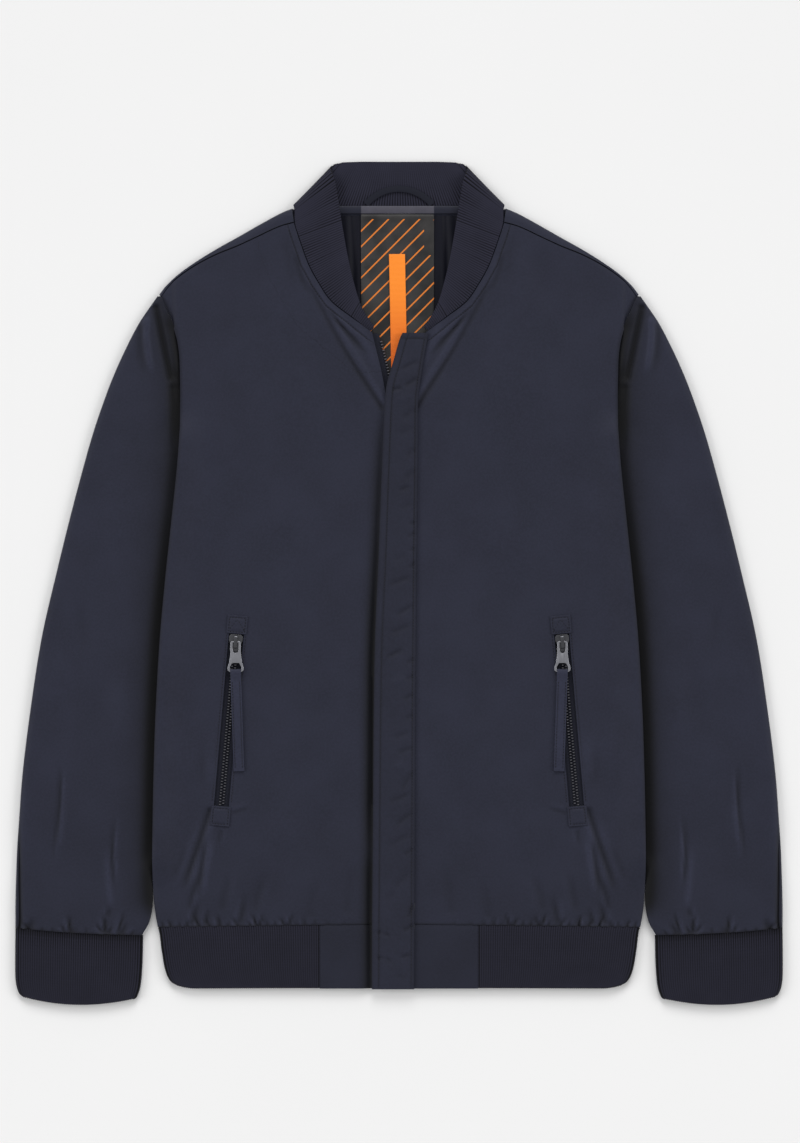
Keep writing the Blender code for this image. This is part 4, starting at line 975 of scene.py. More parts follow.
def flap_points(step):
    """Rows of the storm flap from top to hem, each from its free edge to its seam."""
    rows = []
    rise = CLOTH / 2 + GAP + FLAP_WALL / 2
    for y in spaced(FLAP_ROWS[0].y, FLAP_ROWS[-1].y, step):
        free = curve_through(FLAP["y"], FLAP["free_x"], y)
        seam = curve_through(FLAP["y"], FLAP["seam_x"], y)
        line = []
        for share in spaced(0.0, 1.0, 1.0 / FLAP_COLUMNS):
            x = free + (seam - free) * share
            level = front_level(0.0, y) + rise
            fold, tone = FLAP_RELIEF.read(x, y)
            stitched = math.exp(-(((x - free - FREE_STITCH_INSET) / 0.9) ** 2))
            stitched += math.exp(-(((seam - x - SEAM_STITCH_INSET) / 0.8) ** 2))
            top = math.exp(-(((FLAP_TOP_Y - y - TOP_STITCH_INSET) / 0.9) ** 2))
            ease = smooth((x - free) / 2.0) * smooth((seam - x) / 1.6)
            groove = 0.4 * max(stitched, top)
            # painted shade: in narrow puckers (painted highlight on their crests), in the stitch grooves and
            # along both edges
            shading = 0.4 * tone - 1.2 * groove - FLAP_EDGE_SHADE * (1.0 - ease)
            line.append((x, y, level + (fold + 0.25) * ease - groove * ease, shading))
        rows.append(line)
    return rows


def tape_points(side):
    """One half of the front zip's tape, under its front's free edge."""
    drop = CLOTH / 2 + LAYER_GAP + TRIM / 2
    rows = []
    for y in spaced(TAPE_ROWS[0].y, TAPE_ROWS[-1].y, 3.0):
        edge = curve_through(TAPE["y"], TAPE["right_x" if side < 0 else "left_x"], y)
        edge_z = front_level(0.0, y) - drop
        line = []
        for share in spaced(0.0, 1.0, 0.125):
            x = edge + side * TAPE_WIDTH * share
            line.append((x, y, edge_z + min(0.0, flap_dip(x, y))))
        rows.append(line)
    return rows


def lining_points():
    """The lining inside the neck, with soft upright pleats beside the label."""
    rows = []
    pleats = ((-47.5, 1.6, 0.5), (-43.0, 1.8, -0.7), (-38.4, 1.6, 0.5), (-53.0, 2.0, -0.5), (-58.0, 1.8, 0.4),
              (37.6, 1.7, 0.5), (41.6, 1.8, -0.7), (46.0, 1.6, 0.5), (51.0, 2.0, -0.6), (56.4, 1.8, 0.4))
    for y in spaced(330.6, 152.0, 3.0):
        half = curve_through((152.0, 200.0, 250.0, 300.0, 330.6), (42.0, 50.0, 60.0, 64.0, 63.0), y)
        line = []
        for share in spaced(-1.0, 1.0, 0.016):
            x = half * share
            z = LINING_LEVEL
            for centre, breadth, depth in pleats:
                bent = centre + 2.0 * math.sin((330.0 - y) / 34.0)
                z += depth * math.exp(-(((x - bent) / breadth) ** 2)) * smooth((1.0 - abs(share)) / 0.05)
            line.append((x, y, z))
        rows.append(line)
    return rows


def label_points():
    """Rows of the neck label from top to bottom."""
    rows = []
    for y in spaced(LABEL_TOP_Y, LABEL_BOTTOM_Y, 2.4):
        line = []
        for x in spaced(LABEL_LEFT_X, LABEL_RIGHT_X, 2.2):
            sway = 0.35 * math.sin(x / 9.0 + y / 26.0) * math.sin(math.pi * (x - LABEL_LEFT_X) / LABEL_SPAN)
            fold = 0.6 * math.exp(-(((LABEL_TOP_Y - 2.6 - y) / 1.6) ** 2))
            line.append((x, y, LABEL_LEVEL + sway + fold))
        rows.append(line)
    return rows


def ribbon_points():
    """Rows of the ribbon from top to bottom."""
    rows = []
    for y in spaced(RIBBON_TOP[1], RIBBON_BOTTOM[1], 1.6):
        share = (RIBBON_TOP[1] - y) / (RIBBON_TOP[1] - RIBBON_BOTTOM[1])
        middle = RIBBON_TOP[0] + (RIBBON_BOTTOM[0] - RIBBON_TOP[0]) * share
        line = []
        for part in spaced(-0.5, 0.5, 0.0625):
            bow = 0.5 * math.sin(3.2 * share + 0.4) + 0.35 * math.cos(math.pi * part)
            line.append((middle + RIBBON_WIDTH * part, y, RIBBON_LEVEL + bow))
        rows.append(line)
    return rows


def neck_tape_points():
    """Rows of the tape along the neck seam."""
    rows = []
    for share in spaced(0.0, 1.0, 0.125):
        y = NECK_TAPE_TOP_Y + (NECK_TAPE_BOTTOM_Y - NECK_TAPE_TOP_Y) * share
        round_top = 0.5 * math.sin(math.pi * share)
        line = []
        for x in spaced(-NECK_TAPE_HALF, NECK_TAPE_HALF, 2.0):
            line.append((x, y, LABEL_LEVEL + LAYER_GAP + round_top + 0.12 * math.sin(x / 2.3)))
        rows.append(line)
    return rows


def loop_points():
    """The hanger loop, a ribbon bowed over the inside of the collar."""
    height = LOOP_TOP_Y - LOOP_WIDTH / 2 - LOOP_FOOT_Y
    radius = (LOOP_HALF_SPAN ** 2 + height ** 2) / (2 * height)
    centre_y = LOOP_FOOT_Y + height - radius
    half_angle = math.asin(LOOP_HALF_SPAN / radius)
    rows = []
    for share in spaced(-1.0, 1.0, 0.04):
        angle = half_angle * share
        line = []
        for part in spaced(-0.5, 0.5, 0.125):
            x = (radius + LOOP_WIDTH * part) * math.sin(angle)
            y = centre_y + (radius + LOOP_WIDTH * part) * math.cos(angle)
            z = RIB + GAP + TRIM / 2 + 0.3 * math.cos(math.pi * part) + 0.8 * (1.0 - share * share)
            line.append((x, y, z))
        rows.append(line)
    return rows


def lay_cloth(face, uv, column, row):
    """Gives a face of a grid its place on the cloth, counted in columns and rows."""
    spots = ((column, row), (column + 1, row), (column + 1, row + 1), (column, row + 1))
    for loop, spot in zip(face.loops, spots):
        loop[uv].uv = spot


def add_object(name, mesh):
    """Puts a mesh in the scene as an object of the same name."""
    obj = bpy.data.objects.new(name, mesh)
    bpy.context.scene.collection.objects.link(obj)
    return obj


def add_mesh(name, verts, faces):
    """An object from lists of corners in metres and faces."""
    mesh = bpy.data.meshes.new(name)
    mesh.from_pydata(verts, [], faces)
    return add_object(name, mesh)


def add_grid(name, rows, wrap=False, blocks=()):
    """An open sheet through rows of points, with a UV map that counts its columns and rows.

    A point's fourth value, where it has one, is the painted shade there, kept in the fold attribute: below 0
    darker, above 0 a painted highlight."""
    mesh_data = bmesh.new()
    uv = mesh_data.loops.layers.uv.new("cloth")
    # fold holds each vertex's painted shade, and painted highlight where it is above 0
    fold = mesh_data.verts.layers.float.new("fold")
    count = len(rows[0])
    verts = []
    for index, row in enumerate(rows):
        for column, point in enumerate(row):
            vert = mesh_data.verts.new([value * MM for value in point[:3]])
            vert[fold] = point[3] if len(point) > 3 else 0.0
            verts.append(vert)
    last = count if wrap else count - 1
    for index in range(len(rows) - 1):
        for column in range(last):
            right = (column + 1) % count
            corners = (
                verts[index * count + column],
                verts[index * count + right],
                verts[(index + 1) * count + right],
                verts[(index + 1) * count + column],
            )
            lay_cloth(mesh_data.faces.new(corners), uv, column, index)
    for block, seam in blocks:
        near = [verts[count * (len(rows) - 1) + column] for column in seam]
        for step, row in enumerate(block):
            far = [mesh_data.verts.new([value * MM for value in point]) for point in row]
            for column in range(len(near) - 1):
                corners = (near[column], near[column + 1], far[column + 1], far[column])
                lay_cloth(mesh_data.faces.new(corners), uv, seam[column], len(rows) - 1 + step)
            near = far
    mesh = bpy.data.meshes.new(name)
    mesh_data.to_mesh(mesh)
    mesh_data.free()
    for polygon in mesh.polygons:
        polygon.use_smooth = True
    return add_object(name, mesh)


def only(obj):
    """Selects one object and makes it the active one."""
    bpy.ops.object.select_all(action="DESELECT")
    obj.select_set(True)
    bpy.context.view_layer.objects.active = obj


def apply_modifiers(obj):
    """Applies all of an object's modifiers in order."""
    only(obj)
    for modifier in list(obj.modifiers):
        bpy.ops.object.modifier_apply(modifier=modifier.name)


def thicken(obj, wall, rounded=0.0):
    """Gives a sheet its wall, and rounds the wall's edges."""
    solidify = obj.modifiers.new("wall", "SOLIDIFY")
    solidify.thickness = wall * MM
    solidify.offset = 0.0
    if rounded:
        bevel = obj.modifiers.new("edges", "BEVEL")
        bevel.width = rounded * MM
        bevel.segments = 2
        bevel.limit_method = "ANGLE"
        bevel.angle_limit = math.radians(60)
    apply_modifiers(obj)
    only(obj)
    bpy.ops.object.shade_smooth_by_angle(angle=math.radians(55))
    return obj


def finish_piece(obj, material, body, nodes):
    """Gives a piece its finish, the body it moves with, and the nodes it stands for."""
    obj.data.materials.clear()
    obj.data.materials.append(material)
    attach(obj, body)
    if nodes:
        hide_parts(*nodes)
    return obj


LINE_REACH = 30.0
OFF_LINE = 9.0
OUTER_LAYER_Z = 0.0058


def mark_line(obj, name, points):
    """Stores each vertex's signed distance from a sewn line, in millimetres, as an attribute."""
    layer = obj.data.attributes.new(name, "FLOAT", "POINT")
    values = []
    for vertex in obj.data.vertices:
        x, y = vertex.co.x / MM, vertex.co.y / MM
        best = (LINE_REACH ** 2, OFF_LINE)
        for (ax, ay), (bx, by) in zip(points, points[1:]):
            length = math.hypot(bx - ax, by - ay)
            ux, uy = (bx - ax) / length, (by - ay) / length
            along = (x - ax) * ux + (y - ay) * uy
            held = min(length, max(0.0, along))
            dx, dy = x - ax - ux * held, y - ay - uy * held
            far = dx * dx + dy * dy
            if far < best[0]:
                best = (far, math.copysign(math.sqrt(far), dx * uy - dy * ux))
        values.append(best[1] if vertex.co.z > OUTER_LAYER_Z else OFF_LINE)
    layer.data.foreach_set("value", values)


class Finish:
    """A material being put together: its shader and the nodes that feed it."""

    def __init__(self, name, colour, roughness, metallic=0.0, specular=0.5):
        self.material = bpy.data.materials.new(name)
        self.material.use_nodes = True
        self.nodes = self.material.node_tree.nodes
        self.links = self.material.node_tree.links
        self.shader = self.nodes["Principled BSDF"]
        self.set("Base Color", (*colour, 1.0))
        self.set("Roughness", roughness)
        self.set("Metallic", metallic)
        self.set("Specular IOR Level", specular)
        self.colour = colour
        self.place = self.node("ShaderNodeTexCoord").outputs["Object"]

    def set(self, socket, value):
        """Sets one of the shader's own sockets."""
        self.shader.inputs[socket].default_value = value

    def node(self, kind, **settings):
        """Adds a node."""
        made = self.nodes.new(kind)
        for key, value in settings.items():
            setattr(made, key, value)
        return made

    def link(self, source, target):
        """Feeds a socket from a number or from another node."""
        if isinstance(source, (int, float)):
            target.default_value = source
        else:
            self.links.new(source, target)

    def math(self, operation, *values, clamp=False):
        """The result of a Math node."""
        made = self.node("ShaderNodeMath", operation=operation, use_clamp=clamp)
        for index, value in enumerate(values):
            self.link(value, made.inputs[index])
        return made.outputs[0]

    def remap(self, value, low, high, out_low, out_high):
        """A value taken smoothly from one range to another."""
        made = self.node("ShaderNodeMapRange", interpolation_type="SMOOTHSTEP")
        self.link(value, made.inputs["Value"])
        ends = {"From Min": low, "From Max": high, "To Min": out_low, "To Max": out_high}
        for name, number in ends.items():
            made.inputs[name].default_value = number
        return made.outputs["Result"]

    def noise(self, scale, detail=2.0, stretch=None):
        """Noise in the piece's own space, per metre."""
        made = self.node("ShaderNodeTexNoise")
        made.inputs["Scale"].default_value = scale
        made.inputs["Detail"].default_value = detail
        source = self.place
        if stretch:
            mapping = self.node("ShaderNodeMapping")
            mapping.inputs["Scale"].default_value = stretch
            self.link(source, mapping.inputs["Vector"])
            source = mapping.outputs["Vector"]
        self.link(source, made.inputs["Vector"])
        return made.outputs["Fac"]

    def wave(self, direction, period):
        """Bands across the piece, at a period in metres."""
        made = self.node("ShaderNodeTexWave", wave_type="BANDS", bands_direction=direction)
        made.inputs["Scale"].default_value = math.pi / 10 / period
        made.inputs["Distortion"].default_value = 0.4
        self.link(self.place, made.inputs["Vector"])
        return made.outputs["Fac"]

    def attribute(self, name):
        """A value stored on the mesh."""
        return self.node("ShaderNodeAttribute", attribute_name=name).outputs["Fac"]

    def uv(self):
        """The cloth's own column and row."""
        split = self.node("ShaderNodeSeparateXYZ")
        self.link(self.node("ShaderNodeUVMap", uv_map="cloth").outputs["UV"], split.inputs["Vector"])
        return split.outputs["X"], split.outputs["Y"]

    def xyz(self):
        """The place on the piece, in metres."""
        split = self.node("ShaderNodeSeparateXYZ")
        self.link(self.place, split.inputs["Vector"])
        return split.outputs["X"], split.outputs["Y"], split.outputs["Z"]

    def mix(self, share, low, high):
        """A colour between two, by a share."""
        made = self.node("ShaderNodeMix", data_type="RGBA")
        self.link(share, made.inputs["Factor"])
        for value, socket in ((low, made.inputs["A"]), (high, made.inputs["B"])):
            if isinstance(value, tuple):
                socket.default_value = (*value, 1.0)
            else:
                self.links.new(value, socket)
        return made.outputs["Result"]

    def paint(self, colour):
        """Feeds the shader's colour."""
        self.links.new(colour, self.shader.inputs["Base Color"])

    def with_painted_shade(self, colour):
        """A colour with painted shade in the folds of the cloth and a little painted highlight on their
        crests, from the fold attribute.
        """
        depth = self.math("MINIMUM", self.attribute("fold"), 0.3)
        scaled = self.node("ShaderNodeVectorMath", operation="SCALE")
        self.links.new(colour, scaled.inputs["Vector"])
        self.link(self.math("EXPONENT", self.math("MULTIPLY", depth, FOLD_SHADE)), scaled.inputs["Scale"])
        return scaled.outputs["Vector"]

    def bump(self, height, distance, strength=1.0):
        """Adds fine relief on top of any that is there."""
        made = self.node("ShaderNodeBump")
        made.inputs["Distance"].default_value = distance * MM
        made.inputs["Strength"].default_value = strength
        self.link(height, made.inputs["Height"])
        previous = self.shader.inputs["Normal"]
        if previous.is_linked:
            self.links.new(previous.links[0].from_socket, made.inputs["Normal"])
        self.links.new(made.outputs["Normal"], previous)


FOLD_SHADE = 0.8


def shade(colour, factor):
    """A colour made lighter or darker."""
    return tuple(min(1.0, value * factor) for value in colour)


def shell_finish(name, colour, seams=()):
    """Closely woven cloth: a faint cloudiness, a fine plain weave and any sewn lines."""
    finish = Finish(name, colour, 0.62, specular=0.16)
    finish.set("Sheen Weight", 0.06)
    finish.set("Sheen Roughness", 0.5)
    cloud = finish.noise(24.0, 4.0)
    grain = finish.remap(finish.noise(520.0, 3.0), 0.3, 0.7, 0.0, 1.0)
    tone = finish.mix(finish.remap(cloud, 0.25, 0.75, 0.0, 1.0), shade(colour, 0.84), shade(colour, 1.04))
    tone = finish.mix(finish.math("MULTIPLY", grain, 0.3), tone, shade(colour, 1.5))
    for seam in seams:
        off = finish.math("ABSOLUTE", finish.attribute(seam))
        line = finish.remap(off, 0.25, 0.9, 1.0, 0.0)
        tone = finish.mix(finish.math("MULTIPLY", line, 0.45), tone, shade(colour, 0.3))
        finish.bump(finish.remap(off, 0.0, 1.6, 0.0, 1.0), 0.5)
    finish.paint(finish.with_painted_shade(tone))
    weave = finish.math("ADD", finish.wave("X", 0.00045), finish.wave("Y", 0.0005))
    finish.bump(weave, 0.03, 0.35)
    finish.bump(finish.noise(55.0, 3.0), 0.5, 0.5)
    return finish.material


def rib_finish(name, colour):
    """Rib knit: painted highlight on the crowns, painted shade in the grooves, and the courses along each rib.
    """
    finish = Finish(name, colour, 0.85, specular=0.12)
    finish.set("Sheen Weight", 0.05)
    u, v = finish.uv()
    crown = finish.math("COSINE", finish.math("MULTIPLY", u, 2 * math.pi / RIB_COLUMNS))
    share = finish.remap(crown, -0.45, 1.0, 0.0, 1.0)
    cloud = finish.noise(60.0, 3.0)
    # painted shade in the grooves, painted highlight on the crowns
    low = finish.mix(cloud, shade(colour, 0.0), shade(colour, 0.1))
    high = finish.mix(cloud, shade(colour, 2.3), shade(colour, 3.1))
    finish.paint(finish.with_painted_shade(finish.mix(share, low, high)))
    courses = finish.math("SINE", finish.math("MULTIPLY", v, 2 * math.pi * 2.0))
    finish.bump(finish.math("MULTIPLY", courses, 0.5), 0.12, 0.6)
    finish.bump(finish.noise(1400.0, 2.0), 0.08, 0.6)
    return finish.material


def lining_finish(name, colour):
    """Smooth lining with a fine warp."""
    finish = Finish(name, colour, 0.5, specular=0.12)
    cloud = finish.noise(40.0, 3.0)
    finish.paint(finish.mix(cloud, shade(colour, 0.8), shade(colour, 1.2)))
    finish.bump(finish.wave("X", 0.0004), 0.02, 0.4)
    return finish.material


def label_finish(name, colour, stripe):
    """Woven label cloth with thin slanting stripes, left plain down one side at the top."""
    finish = Finish(name, colour, 0.45, specular=0.35)
    x, y, _ = finish.xyz()
    slant = finish.math("DIVIDE", finish.math("SUBTRACT", y, x), 0.014)
    phase = finish.math("FRACT", slant)
    line = finish.math("LESS_THAN", phase, 0.125)
    side = finish.math("GREATER_THAN", x, 0.0225)
    low = finish.math("MULTIPLY", finish.math("GREATER_THAN", y, 0.295), finish.math("LESS_THAN", y, 0.3265))
    bare = finish.math("MULTIPLY", side, low)
    top = finish.math("GREATER_THAN", y, 0.3275)
    plain = finish.math("MAXIMUM", bare, top)
    shown = finish.math("MULTIPLY", line, finish.math("SUBTRACT", 1.0, plain))
    # painted sheen: cloudy lighter patches where the satin catches the light
    cloud = finish.noise(36.0, 3.0)
    base = finish.mix(finish.remap(cloud, 0.3, 0.7, 0.0, 1.0), shade(colour, 0.5), shade(colour, 2.3))
    finish.paint(finish.mix(shown, base, stripe))
    threads = finish.math("ADD", finish.wave("X", 0.0005), finish.wave("Y", 0.0004))
    finish.bump(threads, 0.04, 0.5)
    return finish.material


def neck_tape_finish(name, colour, satin):
    """Shell cloth along the neck seam, with the label's pale satin fold across its middle."""
    finish = Finish(name, colour, 0.45, specular=0.2)
    x, _, _ = finish.xyz()
    middle = finish.math("LESS_THAN", finish.math("ABSOLUTE", finish.math("ADD", x, 0.0013)), 0.0328)
    cloud = finish.noise(90.0, 2.0)
    pale = finish.mix(cloud, shade(satin, 0.7), shade(satin, 1.3))
    finish.paint(finish.mix(middle, colour, pale))
    finish.bump(finish.wave("X", 0.0005), 0.03, 0.4)
    return finish.material


def ribbon_finish(name, bright, deep):
    """Grosgrain ribbon: cross ribs, stitched edges, deeper in colour towards its lower end."""
    finish = Finish(name, bright, 0.55, specular=0.25)
    _, y, _ = finish.xyz()
    along = finish.remap(y, 0.190, 0.275, 0.0, 1.0)
    tone = finish.mix(along, deep, bright)
    ribs = finish.wave("Y", 0.0011)
    tone = finish.mix(finish.math("MULTIPLY", ribs, 0.25), tone, shade(deep, 0.7))
    finish.paint(tone)
    finish.bump(ribs, 0.18, 0.7)
    finish.bump(finish.wave("X", 0.0006), 0.05, 0.4)
    return finish.material


def tape_finish(name, colour):
    """Herringbone tape."""
    finish = Finish(name, colour, 0.8, specular=0.15)
    x, y, _ = finish.xyz()
    column = finish.math("FRACT", finish.math("DIVIDE", x, 0.003))
    fold = finish.math("ABSOLUTE", finish.math("SUBTRACT", column, 0.5))
    slope = finish.math("ADD", finish.math("MULTIPLY", fold, 2.0), finish.math("DIVIDE", y, 0.0009))
    bands = finish.math("SINE", finish.math("MULTIPLY", slope, 2 * math.pi))
    finish.paint(finish.mix(finish.remap(bands, -1.0, 1.0, 0.0, 1.0), shade(colour, 0.75), shade(colour, 1.2)))
    finish.bump(bands, 0.08, 0.5)
    return finish.material


def teeth_finish(name, colour):
    """Worn dark metal."""
    finish = Finish(name, colour, 0.3, metallic=0.9)
    worn = finish.noise(600.0, 2.0)
    finish.paint(finish.mix(worn, shade(colour, 0.7), shade(colour, 1.3)))
    return finish.material


def metal_finish(name, colour):
    """Satin metal, fine brushed, a little brighter where it is worn."""
    finish = Finish(name, colour, 0.34, metallic=1.0)
    brushed = finish.noise(900.0, 2.0, (1.0, 0.08, 1.0))
    cloud = finish.noise(220.0, 3.0)
    finish.paint(finish.mix(cloud, shade(colour, 0.86), shade(colour, 1.12)))
    finish.links.new(finish.remap(brushed, 0.2, 0.8, 0.28, 0.42), finish.shader.inputs["Roughness"])
    finish.bump(brushed, 0.02, 0.25)
    return finish.material


def thread_finish(name, colour):
    """Twisted sewing thread."""
    finish = Finish(name, colour, 0.5, specular=0.3)
    twist = finish.noise(2600.0, 1.0)
    finish.paint(finish.mix(twist, shade(colour, 0.8), shade(colour, 1.25)))
    return finish.material


def colours():
    """The jacket's colours, as the user left them."""
    return bpy.context.scene.jacket_colours


def sizes():
    """The jacket's sizes, as the user left them."""
    return bpy.context.scene.jacket_sizes


def finish_named(name):
    """The jacket's materials, each made when it is first asked for."""
    made = bpy.data.materials.get(name)
    if made:
        return made
    own = colours()
    makers = {
        "shell_weave": lambda: shell_finish(name, tuple(own.shell)),
        "front_weave": lambda: shell_finish(name, tuple(own.shell), ("neck_line",)),
        # flap: the shell cloth painted darker, a copy with painted shade
        "flap_weave": lambda: shell_finish(name, shade(tuple(own.shell), 0.87)),
        # hem tab: the shell cloth painted darker, a copy with painted shade
        "tab_weave": lambda: shell_finish(name, shade(tuple(own.shell), 0.76)),
        # strap: the shell cloth painted lighter, a copy with painted light
        "strap_weave": lambda: shell_finish(name, shade(tuple(own.shell), 1.38)),
        "rib_knit_weave": lambda: rib_finish(name, tuple(own.rib)),
        # collar: the rib knit painted lighter, a copy with painted light
        "collar_knit_weave": lambda: rib_finish(name, shade(tuple(own.rib), 1.35)),
        "lining_satin": lambda: lining_finish(name, tuple(own.lining)),
        "label_weave": lambda: label_finish(name, tuple(own.label), tuple(own.stripe)),
        # neck tape: the shell cloth painted darker, a copy with painted shade
        "neck_tape_weave": lambda: neck_tape_finish(name, shade(tuple(own.shell), 0.8), tuple(own.satin)),
        "slider_metal": lambda: metal_finish(name, shade(tuple(own.metal), 0.3)),
        "ribbon_weave": lambda: ribbon_finish(name, tuple(own.ribbon), tuple(own.ribbon_deep)),
        "herringbone_tape": lambda: tape_finish(name, tuple(own.tape)),
        "tooth_metal": lambda: teeth_finish(name, tuple(own.teeth)),
        "satin_metal": lambda: metal_finish(name, tuple(own.metal)),
        "sewing_thread": lambda: thread_finish(name, tuple(own.thread)),
    }
    return makers[name]()


def signed(side):
    """The wearer's side, by the sign of x."""
    return "right" if side < 0 else "left"


def pocket_slant():
    """How far a pocket's zip leans from upright."""
    return math.atan2(POCKET_BOTTOM[0] - POCKET_TOP[0], POCKET_TOP[1] - POCKET_BOTTOM[1])


def pocket_length():
    """Length of a pocket's zip."""
    return math.hypot(POCKET_BOTTOM[0] - POCKET_TOP[0], POCKET_TOP[1] - POCKET_BOTTOM[1])


def on_pocket(side, across, along, z):
    """A point of a pocket's own frame, across its zip and up along it, in the jacket's frame."""
    slant = pocket_slant()
    ax, ay = math.cos(slant), math.sin(slant)
    x = POCKET_TOP[0] + across * ax - along * ay
    y = POCKET_TOP[1] + across * ay + along * ax
    return side * x, y, z


WINDOW_REACH = 14.0


def cut_window(obj, side):
    """Opens a pocket's window in a front that is still a sheet."""
    mesh_data = bmesh.new()
    mesh_data.from_mesh(obj.data)
    half = WINDOW_WIDTH / 2
    length = pocket_length()
    reach = (length / 2 + WINDOW_REACH) * MM
    edges = (
        ((half, 0.0), (1.0, 0.0)),
        ((-half, 0.0), (-1.0, 0.0)),
        ((0.0, 0.0), (0.0, 1.0)),
        ((0.0, -length), (0.0, -1.0)),
    )
    middle = Vector([value * MM for value in on_pocket(side, 0.0, -length / 2, 0.0)])
    origin = Vector(on_pocket(side, 0.0, 0.0, 0.0))
    for (across, along), (nx, ny) in edges:
        near = [
            face
            for face in mesh_data.faces
            if (Vector((*face.calc_center_median().xy, 0.0)) - middle).length < reach
            and abs(inside_pocket(side, face.calc_center_median())[0]) < half + WINDOW_REACH / 2
        ]
        parts = set(near)
        for face in near:
            parts.update(face.edges)
            parts.update(face.verts)
        normal = Vector(on_pocket(side, nx, ny, 0.0)) - origin
        bmesh.ops.bisect_plane(
            mesh_data,
            geom=list(parts),
            dist=1e-7,
            plane_co=[value * MM for value in on_pocket(side, across, along, 0.0)],
            plane_no=normal,
        )
    gone = []
    for face in mesh_data.faces:
        across, along = inside_pocket(side, face.calc_center_median())
        if abs(across) < half and -length < along < 0.0:
            gone.append(face)
    bmesh.ops.delete(mesh_data, geom=gone, context="FACES")
    mesh_data.to_mesh(obj.data)
    mesh_data.free()


def inside_pocket(side, point):
    """Where a point in metres lies in a pocket's own frame, in millimetres."""
    slant = pocket_slant()
    dx = side * point.x / MM - POCKET_TOP[0]
    dy = point.y / MM - POCKET_TOP[1]
    return dx * math.cos(slant) + dy * math.sin(slant), -dx * math.sin(slant) + dy * math.cos(slant)


NECK_STITCH = tuple(
    (row.edge_x + off_x, row.edge_y + off_y)
    for row, off_x, off_y in (
        (BODY_ROWS[11], 4.4, -6.4),
        (BODY_ROWS[12], 3.9, -5.2),
        (BODY_ROWS[13], 4.2, -4.8),
        (BODY_ROWS[14], 5.4, -3.5),
        (BODY_ROWS[15], 5.9, -2.8),
        (BODY_ROWS[16], 6.1, -2.0),
        (BODY_ROWS[17], 6.2, -1.4),
    )
)


class JACKET_OT_body(bpy.types.Operator):
    """Makes the two fronts, with their pocket windows, and the back"""

    bl_idname = "jacket.body"
    bl_label = "Body"

    def execute(self, context):
        step = sizes().weave_step / MM
        wide = step * 1.5
        back = thicken(add_grid("back_cloth", back_points(wide), blocks=shoulder_folds(wide)), CLOTH)
        finish_piece(back, finish_named("shell_weave"), "jacket", ("back",))
        for side in (-1, 1):
            name = "front_" + signed(side)
            front = add_grid(name + "_cloth", front_points(side, step))
            cut_window(front, side)
            mark_line(front, "neck_line", [(side * x, y) for x, y in NECK_STITCH])
            thicken(front, CLOTH)
            finish_piece(front, finish_named("front_weave"), "jacket", (name,))
        return {"FINISHED"}


class JACKET_OT_sleeves(bpy.types.Operator):
    """Makes the two sleeves, folded along their outer edges and tucked under the body"""

    bl_idname = "jacket.sleeves"
    bl_label = "Sleeves"

    def execute(self, context):
        step = sizes().weave_step / MM
        for side in (-1, 1):
            name = "sleeve_" + signed(side)
            sleeve = thicken(add_grid(name + "_cloth", sleeve_points(side, step)), CLOTH)
            finish_piece(sleeve, finish_named("shell_weave"), "jacket", (name,))
        return {"FINISHED"}


class JACKET_OT_ribs(bpy.types.Operator):
    """Makes the rib-knit collar, cuffs and hem, and the woven ends of the hem"""

    bl_idname = "jacket.ribs"
    bl_label = "Rib bands"

    def execute(self, context):
        pitch, height = sizes().rib_pitch / MM, sizes().rib_height / MM
        knit = finish_named("rib_knit_weave")
        for side in (-1, 1):
            name = "cuff_" + signed(side)
            cuff = thicken(add_grid(name + "_knit", cuff_points(side, pitch, height), wrap=True), RIB)
            finish_piece(cuff, knit, "jacket", (name,))
        hem = thicken(add_grid("hem_knit", hem_points(pitch, height)), RIB)
        finish_piece(hem, knit, "jacket", ("hem_rib",))
        collar = thicken(add_grid("collar_knit", collar_points(pitch, height)), RIB)
        finish_piece(collar, finish_named("collar_knit_weave"), "jacket", ("collar",))
        for side in (-1, 1):
            name = "hem_tab_" + signed(side)
            tab = thicken(add_grid(name + "_cloth", hem_tab_points(side)), CLOTH)
            finish_piece(tab, finish_named("tab_weave"), "jacket", (name,))
        return {"FINISHED"}


TOOTH_SECTIONS = ((0.0, 1.0, 1.0), (0.62, 1.0, 0.9), (1.0, 0.62, 0.5))
STITCH_RINGS = ((0.0, 0.35, -0.5), (0.22, 1.0, 0.35), (0.78, 1.0, 0.35), (1.0, 0.35, -0.5))
STITCH_SECTION = ((-1, -0.5), (-0.6, 0.6), (0.6, 0.6), (1, -0.5))


def add_teeth(name, places, length, breadth, height):
    """Zip teeth joined into one mesh; places are (point, angle) pairs in millimetres."""
    verts, faces = [], []
    for (x, y, z), angle in places:
        base = len(verts)
        ux, uy = math.cos(angle), math.sin(angle)
        for rise, along, across in TOOTH_SECTIONS:
            for sx, sy in ((-1, -1), (1, -1), (1, 1), (-1, 1)):
                dx, dy = sx * length / 2 * along, sy * breadth / 2 * across
                corner = (x + dx * ux - dy * uy, y + dx * uy + dy * ux, z + height * rise)
                verts.append([value * MM for value in corner])
        faces.append((base + 3, base + 2, base + 1, base))
        for level in (0, 4):
            for corner in range(4):
                after = (corner + 1) % 4
                low, high = base + level, base + level + 4
                faces.append((low + corner, low + after, high + after, high + corner))
        faces.append((base + 8, base + 9, base + 10, base + 11))
    return add_mesh(name, verts, faces)


